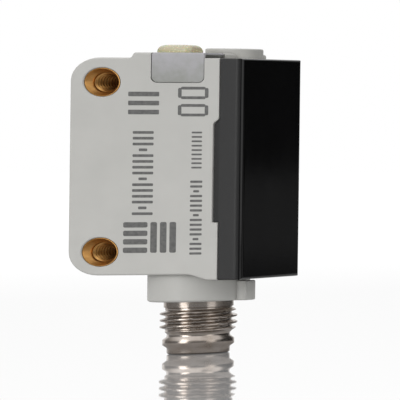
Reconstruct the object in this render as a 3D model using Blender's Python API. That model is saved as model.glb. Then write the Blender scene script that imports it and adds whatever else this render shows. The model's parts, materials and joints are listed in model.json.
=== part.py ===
"""Miniature block photoelectric proximity sensor with a round M8 connector.

The sensor stands on its connector. -Y is the sensing side, +Z is up and X is the width.
The origin is at the middle of the bounding box's bottom face.
"""

import math

import bmesh
import bpy
from mathutils import Matrix, Vector

MM = 0.001

# Overall sizes
WIDTH = 12.0 * MM
DEPTH = 20.7 * MM
EAR_HEIGHT = 32.6 * MM
EAR_BOTTOM = 12.2 * MM
CONNECTOR_AXIS_FROM_REAR = 11.95 * MM

# Clearances
FIT = 0.3 * MM
PIN_FIT = 0.15 * MM

# Housing
WALL = 1.3 * MM
EAR_RADIUS = 3.5 * MM
EAR_EDGE_RADIUS = 0.3 * MM
NOSE_DROP = 0.85 * MM
NOSE_FLAT = 0.9 * MM
NOSE_CURVE_LENGTH = 3.1 * MM
PLATEAU_HEIGHT = 0.8 * MM
PLATEAU_FROM_REAR = 7.35 * MM
PLATEAU_LENGTH = 8.7 * MM
TOP_WALL = 1.4 * MM
RIM_LIP = 0.6 * MM
RIM_LIP_LENGTH = 1.4 * MM
RIM_SPIGOT = 0.4 * MM
BAY_REAR_WALL = 1.25 * MM
BAY_TO_HOLE = 0.9 * MM

# Mounting inserts, M3
HOLE_SPACING = 25.4 * MM
HOLE_FROM_REAR = 3.8 * MM
HOLE_FROM_TOP = 3.7 * MM
INSERT_RADIUS = 2.15 * MM
INSERT_BORE_RADIUS = 1.25 * MM
INSERT_CHAMFER = 0.7 * MM
INSERT_RECESS = 0.1 * MM

# Front cover
COVER_DEPTH = 2.7 * MM
COVER_PLATE = 1.0 * MM
COVER_WALL = 1.0 * MM
COVER_CORNER = 0.5 * MM
COVER_EDGE = 0.8 * MM
TONGUE_REACH = 0.7 * MM
TONGUE_LOW = 8.75 * MM
TONGUE_HEIGHT = 15.2 * MM
SEAL_THICKNESS = 0.85 * MM

# Indicator window and dome
WINDOW_LENGTH = 6.35 * MM
WINDOW_HEIGHT = 4.5 * MM
WINDOW_SIDE = 1.0 * MM
WINDOW_TOP_THICKNESS = 1.1 * MM
WINDOW_TOP_WIDTH = 3.8 * MM
WINDOW_CORNER = 0.8 * MM
DOME_HEIGHT = 1.2 * MM
DOME_WIDTH = 3.1 * MM
DOME_LENGTH = 4.25 * MM
DOME_FROM_SIDE = 0.3 * MM
DOME_FROM_WINDOW_REAR = 0.15 * MM
DOME_SLOPE = 0.8 * MM
DOME_CORNER = 0.7 * MM
STEM_RADIUS = 0.6 * MM

# Sensitivity adjuster
KNOB_X = 2.5 * MM
KNOB_FROM_FRONT = 6.4 * MM
BOSS_RADIUS = 3.05 * MM
BOSS_HEIGHT = 1.6 * MM
KNOB_RADIUS = 2.2 * MM
KNOB_HEAD = 0.8 * MM
KNOB_RECESS = 0.1 * MM
KNOB_SLOT_WIDTH = 0.6 * MM
KNOB_SLOT_DEPTH = 0.45 * MM
KNOB_SLOT_LENGTH = 3.0 * MM
SHAFT_RADIUS = 0.9 * MM
BLADE_THICKNESS = 0.5 * MM
BLADE_WIDTH = 1.5 * MM
BLADE_SLOT_FLOOR = 0.4 * MM
KNOB_SEAL_THICKNESS = 0.5 * MM
TRIMMER_SIDE = 3.6 * MM
TRIMMER_HEIGHT = 2.0 * MM
ROTOR_RADIUS = 1.35 * MM
ROTOR_HEIGHT = 1.1 * MM

# Connector, M8 x 1 male
COLLAR_RADIUS = 5.3 * MM
COLLAR_HEIGHT = 4.2 * MM
COLLAR_EDGE = 0.35 * MM
COLLAR_MOUTH_CLEARANCE = 0.2 * MM
LUG_WIDTH = 2.0 * MM
LUG_REACH = 6.4 * MM
LUG_ROOT = 0.8 * MM
THREAD_RADIUS = 4.0 * MM
THREAD_DEPTH = 0.55 * MM
THREAD_PITCH = 1.0 * MM
THREAD_START = 3.3 * MM
THREAD_LENGTH = 3.7 * MM
NECK_RADIUS = 3.6 * MM
RING_RADIUS = 3.7 * MM
WAIST_RADIUS = 3.25 * MM
RING_START = 1.0 * MM
RING_HEIGHT = 1.6 * MM
SOCKET_RADIUS = 2.65 * MM
SOCKET_DEPTH = 5.4 * MM
SLEEVE_BORE_RADIUS = 2.95 * MM
SEAT_DEPTH = 1.5 * MM
CONNECTOR_SEAL_HEIGHT = 0.8 * MM
CONNECTOR_SEAL_WIDTH = 0.6 * MM
FLANGE_RADIUS = 4.5 * MM
FLANGE_HEIGHT = 1.0 * MM
PIN_RADIUS = 0.5 * MM
PIN_CIRCLE = 1.5 * MM
PIN_ANGLES = (37, 143, 217, 323)
PIN_RECESS = 1.5 * MM
CONNECTOR_BOARD_RADIUS = 4.1 * MM

# Boards and optics
BOARD = 0.8 * MM
BOARD_CLEARANCE = 0.4 * MM
MAIN_BOARD_FROM_REAR = 7.95 * MM
LENS_RADIUS = 3.0 * MM
LENS_EDGE = 1.0 * MM
LENS_BULGE = 0.9 * MM
LENS_SPACING = 11.2 * MM
CARRIER_CLEARANCE = 0.9 * MM
CARRIER_MARGIN = 4.6 * MM
CARRIER_LENGTH = 7.8 * MM
CARRIER_CORNER = 0.4 * MM
TUNNEL_REAR_RADIUS = 1.3 * MM
LENS_LEDGE = 0.5 * MM
LED_SIZE = (2.0 * MM, 1.2 * MM, 2.0 * MM)
DIODE_SIZE = (3.0 * MM, 1.0 * MM, 3.0 * MM)
SHIELD_SIDE = 4.8 * MM
SHIELD_WALL = 0.3 * MM
CHIP_SIZE = (5.0 * MM, 1.0 * MM, 5.0 * MM)
TRANSISTOR_SIZE = (2.9 * MM, 1.0 * MM, 1.6 * MM)
CAPACITOR_SIZE = (1.8 * MM, 1.7 * MM, 3.4 * MM)
INDICATOR_SIZE = (1.6 * MM, 0.9 * MM, 0.7 * MM)
LINK_THICKNESS = 0.25 * MM
LINK_WIDTH = 4.0 * MM

# Places worked out from the sizes above
SIDE = WIDTH / 2
REAR = DEPTH / 2
FRONT = -DEPTH / 2
EAR_TOP = EAR_BOTTOM + EAR_HEIGHT
NOSE_BOTTOM = EAR_BOTTOM - NOSE_DROP
TONGUE_BOTTOM = NOSE_BOTTOM + TONGUE_LOW
TONGUE_TOP = TONGUE_BOTTOM + TONGUE_HEIGHT
PLATEAU_TOP = EAR_TOP + PLATEAU_HEIGHT
PLATEAU_REAR = REAR - PLATEAU_FROM_REAR
PLATEAU_FRONT = PLATEAU_REAR - PLATEAU_LENGTH
COVER_SEAM = FRONT + COVER_DEPTH
COVER_REAR = COVER_SEAM - FIT / 2
HOUSING_FRONT = COVER_SEAM + FIT / 2
HOLE_Y = REAR - HOLE_FROM_REAR
HOLE_TOP_Z = EAR_TOP - HOLE_FROM_TOP
HOLE_LOW_Z = HOLE_TOP_Z - HOLE_SPACING
HOLE_RADIUS = INSERT_RADIUS + FIT
CAVITY_SIDE = SIDE - WALL
CAVITY_TOP = EAR_TOP - TOP_WALL
CAVITY_BOTTOM = EAR_BOTTOM + WALL
CAVITY_REAR = HOLE_Y - HOLE_RADIUS - BAY_TO_HOLE
RIM_SIDE = CAVITY_SIDE - RIM_LIP
RIM_TOP = CAVITY_TOP - RIM_LIP
RIM_BOTTOM = CAVITY_BOTTOM + RIM_LIP
SPIGOT_FRONT = HOUSING_FRONT - RIM_SPIGOT
RIM_REAR = SPIGOT_FRONT + RIM_LIP_LENGTH
PLATE_BACK = FRONT + COVER_PLATE
CONNECTOR_Y = REAR - CONNECTOR_AXIS_FROM_REAR
COLLAR_BOTTOM = EAR_BOTTOM - COLLAR_HEIGHT
SEAT_Z = COLLAR_BOTTOM + SEAT_DEPTH
FLANGE_Z = SEAT_Z + CONNECTOR_SEAL_HEIGHT + 2 * FIT
SLEEVE_TOP = FLANGE_Z + FLANGE_HEIGHT
SEAT_RADIUS = FLANGE_RADIUS + FIT
WINDOW_REAR = PLATEAU_FRONT + WINDOW_LENGTH
WINDOW_BOTTOM = PLATEAU_TOP - WINDOW_HEIGHT
WINDOW_UNDER = PLATEAU_TOP - WINDOW_TOP_THICKNESS
DOME_X = -SIDE + DOME_FROM_SIDE + DOME_WIDTH / 2
DOME_Y = WINDOW_REAR - DOME_FROM_WINDOW_REAR - DOME_LENGTH / 2
DOME_BASE = PLATEAU_TOP + FIT
DOME_TOP = PLATEAU_TOP + DOME_HEIGHT
STEM_X = -CAVITY_SIDE + 2 * STEM_RADIUS
KNOB_Y = FRONT + KNOB_FROM_FRONT
BOSS_TOP = EAR_TOP + BOSS_HEIGHT
KNOB_TOP = BOSS_TOP - KNOB_RECESS
KNOB_UNDER = KNOB_TOP - KNOB_HEAD
KNOB_SEAL_TOP = KNOB_UNDER - FIT
KNOB_FLOOR = KNOB_SEAL_TOP - KNOB_SEAL_THICKNESS - FIT
KNOB_WELL_RADIUS = KNOB_RADIUS + FIT
TRIMMER_TOP = CAVITY_TOP - FIT
TRIMMER_UNDER = TRIMMER_TOP - TRIMMER_HEIGHT
ROTOR_UNDER = TRIMMER_TOP - ROTOR_HEIGHT
TOP_BOARD_TOP = TRIMMER_UNDER - FIT
TOP_BOARD_UNDER = TOP_BOARD_TOP - BOARD
BOARD_WIDTH = 2 * (CAVITY_SIDE - BOARD_CLEARANCE)
MAIN_BOARD_REAR = REAR - MAIN_BOARD_FROM_REAR
MAIN_BOARD_FRONT = MAIN_BOARD_REAR - BOARD
MAIN_BOARD_TOP = TOP_BOARD_UNDER - FIT
CONNECTOR_BOARD_UNDER = SLEEVE_TOP + FIT
CONNECTOR_BOARD_TOP = CONNECTOR_BOARD_UNDER + BOARD
MAIN_BOARD_BOTTOM = CAVITY_BOTTOM + FIT
CARRIER_REAR = MAIN_BOARD_FRONT - LED_SIZE[1] - 2 * FIT
CARRIER_FRONT = CARRIER_REAR - CARRIER_LENGTH
CARRIER_WIDTH = 2 * (CAVITY_SIDE - CARRIER_CLEARANCE)
OPTICS_Z = (CAVITY_TOP + CAVITY_BOTTOM) / 2 - FIT
EMITTER_Z = OPTICS_Z + LENS_SPACING / 2
RECEIVER_Z = OPTICS_Z - LENS_SPACING / 2
CARRIER_TOP = EMITTER_Z + CARRIER_MARGIN
CARRIER_BOTTOM = RECEIVER_Z - CARRIER_MARGIN
LENS_POCKET_DEPTH = LENS_BULGE + LENS_EDGE + FIT

SEGMENTS = 40
WELL_SEGMENTS = 36
SMALL_SEGMENTS = 20


def clear_scene():
    for thing in list(bpy.data.objects):
        bpy.data.objects.remove(thing)


def material(name, color, roughness, metallic=0.0, transmission=0.0):
    made = bpy.data.materials.get(name)
    if made is None:
        made = bpy.data.materials.new(name)
        made.use_nodes = True
        shader = made.node_tree.nodes["Principled BSDF"]
        shader.inputs["Base Color"].default_value = (*color, 1.0)
        shader.inputs["Roughness"].default_value = roughness
        shader.inputs["Metallic"].default_value = metallic
        shader.inputs["Transmission Weight"].default_value = transmission
    return made


def add_object(name, mesh_builder, look=None):
    """Makes a named object from a filled bmesh, with its faces pointing out."""
    bmesh.ops.recalc_face_normals(mesh_builder, faces=mesh_builder.faces)
    mesh = bpy.data.meshes.new(name)
    mesh_builder.to_mesh(mesh)
    mesh_builder.free()
    made = bpy.data.objects.new(name, mesh)
    bpy.context.scene.collection.objects.link(made)
    if look is not None:
        mesh.materials.append(look)
    return made


def shade_round(target, angle=35):
    target.data.shade_smooth()
    target.data.set_sharp_from_angle(angle=math.radians(angle))


def block(name, low, high, look=None):
    """A box between two corners."""
    builder = bmesh.new()
    bmesh.ops.create_cube(builder, size=1.0)
    low, high = Vector(low), Vector(high)
    for vertex in builder.verts:
        vertex.co = (low + high) / 2 + vertex.co * (high - low)
    return add_object(name, builder, look)


def block_at(name, centre, size, look=None):
    """A box of a given size about its centre."""
    half = Vector(size) / 2
    return block(name, Vector(centre) - half, Vector(centre) + half, look)


def arc(centre, radius, start, end, steps):
    """Points of an arc in a plane, angles in degrees."""
    angles = [math.radians(start + (end - start) * i / steps) for i in range(steps + 1)]
    return [(centre[0] + radius * math.cos(a), centre[1] + radius * math.sin(a)) for a in angles]


def rounded_rectangle(low, high, radius, steps=5):
    """A rectangle's outline with four round corners, counter-clockwise."""
    corners = [
        (high[0] - radius, high[1] - radius, 0),
        (low[0] + radius, high[1] - radius, 90),
        (low[0] + radius, low[1] + radius, 180),
        (high[0] - radius, low[1] + radius, 270),
    ]
    outline = []
    for u, v, start in corners:
        outline += arc((u, v), radius, start, start + 90, steps)
    return outline


def prism(name, outline, axis, start, end, look=None):
    """An outline drawn in the plane across an axis, extruded along that axis."""
    place = {
        "X": lambda u, v, w: (w, u, v),
        "Y": lambda u, v, w: (u, w, v),
        "Z": lambda u, v, w: (u, v, w),
    }[axis]
    builder = bmesh.new()
    base = builder.faces.new([builder.verts.new(place(u, v, start)) for u, v in outline])
    grown = bmesh.ops.extrude_face_region(builder, geom=[base])
    shift = Vector(place(0, 0, end - start))
    for item in grown["geom"]:
        if isinstance(item, bmesh.types.BMVert):
            item.co += shift
    return add_object(name, builder, look)


def turned(name, profile, look=None, segments=SEGMENTS, place=Matrix.Identity(4)):
    """A profile of (radius, height) points turned about Z. It closes on itself, unless both ends
    lie on the axis."""
    on_axis = profile[0][0] == 0 and profile[-1][0] == 0
    builder = bmesh.new()
    rings = []
    for radius, height in profile:
        if radius == 0:
            rings.append([builder.verts.new((0, 0, height))])
            continue
        turns = [2 * math.pi * i / segments for i in range(segments)]
        rings.append(
            [builder.verts.new((radius * math.cos(t), radius * math.sin(t), height)) for t in turns]
        )
    pairs = list(zip(rings, rings[1:]))
    if not on_axis:
        pairs.append((rings[-1], rings[0]))
    for lower, upper in pairs:
        for i in range(segments):
            j = (i + 1) % segments
            corners = [lower[i % len(lower)], lower[j % len(lower)]]
            corners += [upper[j % len(upper)], upper[i % len(upper)]]
            builder.faces.new(list(dict.fromkeys(corners)))
    builder.transform(place)
    made = add_object(name, builder, look)
    shade_round(made)
    return made


def rod(name, radius, start, end, look=None, segments=SEGMENTS, place=Matrix.Identity(4)):
    profile = [(0, start), (radius, start), (radius, end), (0, end)]
    return turned(name, profile, look, segments, place)


def ring(name, inner, outer, start, end, edge, look=None, place=Matrix.Identity(4)):
    """A turned ring with its four edges cut off at an angle."""
    profile = [
        (inner, start + edge),
        (inner + edge, start),
        (outer - edge, start),
        (outer, start + edge),
        (outer, end - edge),
        (outer - edge, end),
        (inner + edge, end),
        (inner, end - edge),
    ]
    return turned(name, profile, look, SEGMENTS, place)


def combine(target, other, operation):
    """Joins a helper solid to a piece, or cuts it away, and hides the helper."""
    step = target.modifiers.new(other.name, "BOOLEAN")
    step.operation = operation
    step.object = other
    other.hide_render = True
    other.display_type = "WIRE"


def cut(target, *cutters):
    for cutter in cutters:
        combine(target, cutter, "DIFFERENCE")


def join(target, *others):
    for other in others:
        combine(target, other, "UNION")


def upright(x, y):
    return Matrix.Translation((x, y, 0))


def crosswise(y, z):
    """Turns a Z axis onto X, through a point."""
    return Matrix.Translation((0, y, z)) @ Matrix.Rotation(math.pi / 2, 4, "Y")


def forward(x, z):
    """Turns a Z axis onto -Y, through a point."""
    return Matrix.Translation((x, 0, z)) @ Matrix.Rotation(math.pi / 2, 4, "X")


def tongue_outline(seam):
    """The seam between cover and housing as (y, z) points, bottom to top."""
    return [
        (seam, TONGUE_BOTTOM),
        (seam + TONGUE_REACH, TONGUE_BOTTOM + TONGUE_REACH),
        (seam + TONGUE_REACH, TONGUE_TOP - TONGUE_REACH),
        (seam, TONGUE_TOP),
    ]


def housing_outline():
    """The housing's side view in Y and Z, counter-clockwise from the bottom front."""
    curve_front = COVER_SEAM + NOSE_FLAT
    points = [(HOUSING_FRONT, NOSE_BOTTOM)]
    steps = 8
    for i in range(steps + 1):
        share = i / steps
        rise = NOSE_DROP * (1 - math.cos(math.pi * share)) / 2
        points.append((curve_front + NOSE_CURVE_LENGTH * share, NOSE_BOTTOM + rise))
    inner = REAR - EAR_RADIUS
    points += arc((inner, EAR_BOTTOM + EAR_RADIUS), EAR_RADIUS, -90, 0, 10)
    points += arc((inner, EAR_TOP - EAR_RADIUS), EAR_RADIUS, 0, 90, 10)
    points += [
        (PLATEAU_REAR, EAR_TOP),
        (PLATEAU_REAR - PLATEAU_HEIGHT / 4, PLATEAU_TOP),
        (PLATEAU_FRONT, PLATEAU_TOP),
        (PLATEAU_FRONT, EAR_TOP),
        (HOUSING_FRONT, EAR_TOP),
    ]
    return points + tongue_outline(HOUSING_FRONT)[::-1]


def make_housing():
    grey = material("light_grey_plastic", (0.62, 0.61, 0.58), 0.45)
    housing = prism("housing", housing_outline(), "X", -SIDE, SIDE, grey)
    collar_profile = [
        (0, COLLAR_BOTTOM),
        (COLLAR_RADIUS - COLLAR_EDGE, COLLAR_BOTTOM),
        (COLLAR_RADIUS, COLLAR_BOTTOM + COLLAR_EDGE),
        (COLLAR_RADIUS, EAR_BOTTOM + WALL / 2),
        (0, EAR_BOTTOM + WALL / 2),
    ]
    axis = upright(0, CONNECTOR_Y)
    knob_axis = upright(KNOB_X, KNOB_Y)
    collar = turned("collar_stock", collar_profile, place=axis)
    boss = rod("boss_stock", BOSS_RADIUS, EAR_TOP - TOP_WALL / 2, BOSS_TOP, place=knob_axis)
    spigot = block(
        "spigot_stock",
        (-CAVITY_SIDE, SPIGOT_FRONT, CAVITY_BOTTOM),
        (CAVITY_SIDE, HOUSING_FRONT + WALL, CAVITY_TOP),
    )
    lug = block(
        "lug_stock",
        (-LUG_WIDTH / 2, CONNECTOR_Y - LUG_REACH, COLLAR_BOTTOM),
        (LUG_WIDTH / 2, CONNECTOR_Y - COLLAR_RADIUS + LUG_ROOT, NOSE_BOTTOM - FIT),
    )
    join(housing, collar, boss, spigot, lug)

    cavity = block(
        "cavity_cutter",
        (-CAVITY_SIDE, RIM_REAR, CAVITY_BOTTOM),
        (CAVITY_SIDE, CAVITY_REAR, CAVITY_TOP),
    )
    mouth = block(
        "mouth_cutter",
        (-RIM_SIDE, FRONT, RIM_BOTTOM),
        (RIM_SIDE, RIM_REAR + WALL, RIM_TOP),
    )
    bay_low = HOLE_LOW_Z + HOLE_RADIUS + BAY_TO_HOLE
    bay_high = HOLE_TOP_Z - HOLE_RADIUS - BAY_TO_HOLE
    bay = block(
        "bay_cutter",
        (-CAVITY_SIDE, CAVITY_REAR - WALL, bay_low),
        (CAVITY_SIDE, REAR - BAY_REAR_WALL, bay_high),
    )
    cut(housing, cavity, mouth, bay)

    long = WIDTH
    upper_hole = rod("upper_hole", HOLE_RADIUS, -long, long, place=crosswise(HOLE_Y, HOLE_TOP_Z))
    lower_hole = rod("lower_hole", HOLE_RADIUS, -long, long, place=crosswise(HOLE_Y, HOLE_LOW_Z))
    mouth_radius = THREAD_RADIUS + COLLAR_MOUTH_CLEARANCE
    neck_radius = NECK_RADIUS + FIT
    neck_profile = [
        (0, COLLAR_BOTTOM - WALL),
        (mouth_radius, COLLAR_BOTTOM - WALL),
        (mouth_radius, COLLAR_BOTTOM),
        (neck_radius, COLLAR_BOTTOM + mouth_radius - neck_radius),
        (neck_radius, SEAT_Z),
        (SEAT_RADIUS, SEAT_Z),
        (SEAT_RADIUS, CAVITY_BOTTOM + WALL / 2),
        (0, CAVITY_BOTTOM + WALL / 2),
    ]
    neck = turned("neck_bore", neck_profile, place=axis)
    well_profile = [
        (0, CAVITY_TOP - WALL),
        (SHAFT_RADIUS + FIT, CAVITY_TOP - WALL),
        (SHAFT_RADIUS + FIT, KNOB_FLOOR),
        (KNOB_WELL_RADIUS, KNOB_FLOOR),
        (KNOB_WELL_RADIUS, BOSS_TOP + WALL),
        (0, BOSS_TOP + WALL),
    ]
    well = turned("knob_well", well_profile, segments=WELL_SEGMENTS, place=knob_axis)
    cut(housing, upper_hole, lower_hole, neck, well)

    slot_low = (-SIDE - WALL, PLATEAU_FRONT - FIT, WINDOW_BOTTOM - FIT)
    slot_high = (-CAVITY_SIDE + FIT / 2, WINDOW_REAR + FIT, PLATEAU_TOP + WALL)
    side_slot = block("window_side_slot", slot_low, slot_high)
    top_slot = block(
        "window_top_slot",
        (-SIDE - WALL, PLATEAU_FRONT - FIT, WINDOW_UNDER - FIT),
        (-SIDE + WINDOW_TOP_WIDTH + FIT, WINDOW_REAR + FIT, PLATEAU_TOP + WALL),
    )
    stem = rod(
        "stem_hole",
        STEM_RADIUS + FIT,
        CAVITY_TOP - WALL,
        PLATEAU_TOP,
        segments=SMALL_SEGMENTS,
        place=upright(STEM_X, DOME_Y),
    )
    cut(housing, side_slot, top_slot, stem)
    return housing


def make_front_cover():
    black = material("black_gloss_plastic", (0.006, 0.006, 0.007), 0.12)
    corner = COVER_CORNER
    bottom, top = NOSE_BOTTOM, EAR_TOP
    outline = arc((FRONT + corner, bottom + corner), corner, 180, 270, 5)
    outline += [(COVER_REAR, bottom), *tongue_outline(COVER_REAR), (COVER_REAR, top)]
    outline += arc((FRONT + corner, top - corner), corner, 90, 180, 5)
    cover = prism("front_cover", outline, "X", -SIDE, SIDE, black)
    edge = COVER_EDGE
    plan = arc((-SIDE + edge, FRONT + edge), edge, 180, 270, 6)
    plan += arc((SIDE - edge, FRONT + edge), edge, 270, 360, 6)
    plan += [(SIDE, 0), (-SIDE, 0)]
    rounded = prism("cover_plan", plan, "Z", 0, 2 * EAR_TOP)
    combine(cover, rounded, "INTERSECT")
    inside = SIDE - COVER_WALL
    pocket = block(
        "cover_pocket",
        (-inside, PLATE_BACK, bottom + COVER_WALL),
        (inside, 0, top - COVER_WALL),
    )
    cut(cover, pocket)
    return cover


def make_cover_seal():
    """A rubber frame squeezed between the cover's plate and the housing's rim."""
    rubber = material("black_rubber", (0.02, 0.02, 0.02), 0.8)
    outer = SIDE - COVER_WALL - FIT
    low = NOSE_BOTTOM + COVER_WALL + FIT
    high = EAR_TOP - COVER_WALL - FIT
    seal = block(
        "cover_seal",
        (-outer, SPIGOT_FRONT - FIT - SEAL_THICKNESS, low),
        (outer, SPIGOT_FRONT - FIT, high),
        rubber,
    )
    opening = block("seal_opening", (-RIM_SIDE, FRONT, RIM_BOTTOM), (RIM_SIDE, 0, RIM_TOP))
    cut(seal, opening)
    return seal


def make_mounting_inserts():
    brass = material("brass", (0.62, 0.42, 0.19), 0.28, 1.0)
    half = SIDE - INSERT_RECESS
    mouth = INSERT_BORE_RADIUS + INSERT_CHAMFER
    profile = [
        (INSERT_BORE_RADIUS, -half + INSERT_CHAMFER),
        (mouth, -half),
        (INSERT_RADIUS, -half),
        (INSERT_RADIUS, half),
        (mouth, half),
        (INSERT_BORE_RADIUS, half - INSERT_CHAMFER),
    ]
    for name, height in (("upper", HOLE_TOP_Z), ("lower", HOLE_LOW_Z)):
        place = crosswise(HOLE_Y, height)
        turned("mounting_insert_" + name, profile, brass, SEGMENTS, place)


def make_indicator_window():
    frosted = material("frosted_plastic", (0.5, 0.5, 0.52), 0.4, transmission=0.3)
    low, high, r = PLATEAU_FRONT, WINDOW_REAR, WINDOW_CORNER
    outline = arc((low + r, WINDOW_BOTTOM + r), r, 180, 270, 5)
    outline += arc((high - r, WINDOW_BOTTOM + r), r, 270, 360, 5)
    outline += [(high, PLATEAU_TOP), (low, PLATEAU_TOP)]
    window = prism("indicator_window", outline, "X", -SIDE, -SIDE + WINDOW_SIDE, frosted)
    roof = block(
        "window_roof",
        (-SIDE + WINDOW_SIDE / 2, low, WINDOW_UNDER),
        (-SIDE + WINDOW_TOP_WIDTH, high, PLATEAU_TOP),
    )
    join(window, roof)
    stem = rod(
        "window_stem_hole",
        STEM_RADIUS + FIT,
        CAVITY_TOP,
        PLATEAU_TOP + FIT,
        segments=SMALL_SEGMENTS,
        place=upright(STEM_X, DOME_Y),
    )
    cut(window, stem)
    return window


def make_indicator_dome():
    """A low lens with sloping sides, on a light-guiding stem."""
    amber = material("yellowish_plastic", (0.75, 0.68, 0.35), 0.3, transmission=0.5)
    half_width, half_length = DOME_WIDTH / 2, DOME_LENGTH / 2
    layers = [
        (0, DOME_BASE),
        (DOME_SLOPE * 0.15, DOME_BASE + (DOME_TOP - DOME_BASE) * 0.35),
        (DOME_SLOPE, DOME_TOP),
    ]
    builder = bmesh.new()
    rings = []
    for inset, height in layers:
        low = (DOME_X - half_width + inset, DOME_Y - half_length + inset)
        high = (DOME_X + half_width - inset, DOME_Y + half_length - inset)
        outline = rounded_rectangle(low, high, DOME_CORNER)
        rings.append([builder.verts.new((x, y, height)) for x, y in outline])
    for lower, upper in zip(rings, rings[1:]):
        for i in range(len(lower)):
            j = (i + 1) % len(lower)
            builder.faces.new((lower[i], lower[j], upper[j], upper[i]))
    builder.faces.new(rings[0][::-1])
    builder.faces.new(rings[-1])
    dome = add_object("indicator_dome", builder, amber)
    stem = rod(
        "dome_stem",
        STEM_RADIUS,
        TOP_BOARD_TOP + INDICATOR_SIZE[2] + 2 * FIT,
        (DOME_BASE + DOME_TOP) / 2,
        segments=SMALL_SEGMENTS,
        place=upright(STEM_X, DOME_Y),
    )
    join(dome, stem)
    return dome


def make_adjuster():
    """The knob that is turned from above, its seal, and the trimmer that it turns."""
    white = material("white_plastic", (0.75, 0.74, 0.70), 0.4)
    rubber = material("black_rubber", (0.02, 0.02, 0.02), 0.8)
    blue = material("blue_plastic", (0.03, 0.12, 0.35), 0.5)
    axis = upright(KNOB_X, KNOB_Y)
    bevel = KNOB_HEAD / 5
    shaft_end = TRIMMER_TOP + FIT
    profile = [
        (0, shaft_end),
        (SHAFT_RADIUS, shaft_end),
        (SHAFT_RADIUS, KNOB_UNDER),
        (KNOB_RADIUS, KNOB_UNDER),
        (KNOB_RADIUS, KNOB_TOP - bevel),
        (KNOB_RADIUS - bevel, KNOB_TOP),
        (0, KNOB_TOP),
    ]
    knob = turned("sensitivity_knob", profile, white, place=axis)
    blade_low = ROTOR_UNDER + (BLADE_SLOT_FLOOR + FIT)
    blade_size = (BLADE_THICKNESS, BLADE_WIDTH, shaft_end + FIT - blade_low)
    blade_centre = (KNOB_X, KNOB_Y, blade_low + blade_size[2] / 2)
    join(knob, block_at("blade_stock", blade_centre, blade_size))
    slot_centre = (KNOB_X, KNOB_Y, KNOB_TOP)
    long, narrow, tall = KNOB_SLOT_LENGTH, KNOB_SLOT_WIDTH, 2 * KNOB_SLOT_DEPTH
    cut(knob, block_at("slot_cutter_x", slot_centre, (long, narrow, tall)))
    cut(knob, block_at("slot_cutter_y", slot_centre, (narrow, long, tall)))

    inner = SHAFT_RADIUS + FIT
    low = KNOB_SEAL_TOP - KNOB_SEAL_THICKNESS
    edge = KNOB_SEAL_THICKNESS * 0.3
    ring("knob_seal", inner, KNOB_RADIUS, low, KNOB_SEAL_TOP, edge, rubber, axis)

    half = TRIMMER_SIDE / 2
    trimmer = block(
        "trimmer_body",
        (KNOB_X - half, KNOB_Y - half, TRIMMER_UNDER),
        (KNOB_X + half, KNOB_Y + half, TRIMMER_TOP),
        blue,
    )
    well = rod("rotor_well", ROTOR_RADIUS + FIT, ROTOR_UNDER - FIT, EAR_TOP, place=axis)
    cut(trimmer, well)
    rotor = rod("trimmer_rotor", ROTOR_RADIUS, ROTOR_UNDER, TRIMMER_TOP, white, place=axis)
    slot = block(
        "rotor_slot",
        (
            KNOB_X - BLADE_THICKNESS / 2 - FIT,
            KNOB_Y - BLADE_WIDTH / 2 - FIT,
            ROTOR_UNDER + BLADE_SLOT_FLOOR,
        ),
        (KNOB_X + BLADE_THICKNESS / 2 + FIT, KNOB_Y + BLADE_WIDTH / 2 + FIT, EAR_TOP),
    )
    cut(rotor, slot)


def make_boards():
    green = material("circuit_board", (0.02, 0.17, 0.06), 0.45)
    half = BOARD_WIDTH / 2
    block(
        "main_board",
        (-half, MAIN_BOARD_FRONT, MAIN_BOARD_BOTTOM),
        (half, MAIN_BOARD_REAR, MAIN_BOARD_TOP),
        green,
    )
    block(
        "top_board",
        (-half, RIM_REAR + FIT, TOP_BOARD_UNDER),
        (half, MAIN_BOARD_REAR, TOP_BOARD_TOP),
        green,
    )
    round_board = rod(
        "connector_board",
        CONNECTOR_BOARD_RADIUS,
        CONNECTOR_BOARD_UNDER,
        CONNECTOR_BOARD_TOP,
        green,
        place=upright(0, CONNECTOR_Y),
    )
    cut_pin_holes(round_board, "board")
    polyimide = material("orange_film", (0.55, 0.20, 0.03), 0.35)
    low, thick = CONNECTOR_BOARD_TOP + FIT, LINK_THICKNESS
    back = MAIN_BOARD_FRONT - FIT
    top = CARRIER_BOTTOM - FIT
    outline = [
        (CONNECTOR_Y, low),
        (back, low),
        (back, top),
        (back - thick, top),
        (back - thick, low + thick),
        (CONNECTOR_Y, low + thick),
    ]
    prism("board_link", outline, "X", -LINK_WIDTH / 2, LINK_WIDTH / 2, polyimide)


def make_optics():
    black = material("black_plastic", (0.015, 0.015, 0.015), 0.6)
    clear = material("clear_plastic", (0.85, 0.87, 0.88), 0.05, transmission=0.9)
    half = CARRIER_WIDTH / 2
    outline = rounded_rectangle((-half, CARRIER_BOTTOM), (half, CARRIER_TOP), CARRIER_CORNER, 3)
    carrier = prism("optics_carrier", outline, "Y", CARRIER_FRONT, CARRIER_REAR, black)
    pocket_floor = CARRIER_FRONT + LENS_POCKET_DEPTH
    for name, height in (("emitter", EMITTER_Z), ("receiver", RECEIVER_Z)):
        axis = forward(0, height)
        tunnel = [
            (0, -CARRIER_REAR - WALL),
            (TUNNEL_REAR_RADIUS, -CARRIER_REAR - WALL),
            (TUNNEL_REAR_RADIUS, -CARRIER_REAR),
            (LENS_RADIUS - LENS_LEDGE, -pocket_floor),
            (LENS_RADIUS + FIT, -pocket_floor),
            (LENS_RADIUS + FIT, -FRONT),
            (0, -FRONT),
        ]
        cut(carrier, turned(name + "_tunnel", tunnel, place=axis))
        make_lens(name + "_lens", -pocket_floor + FIT, clear, axis)
    return carrier


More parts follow.
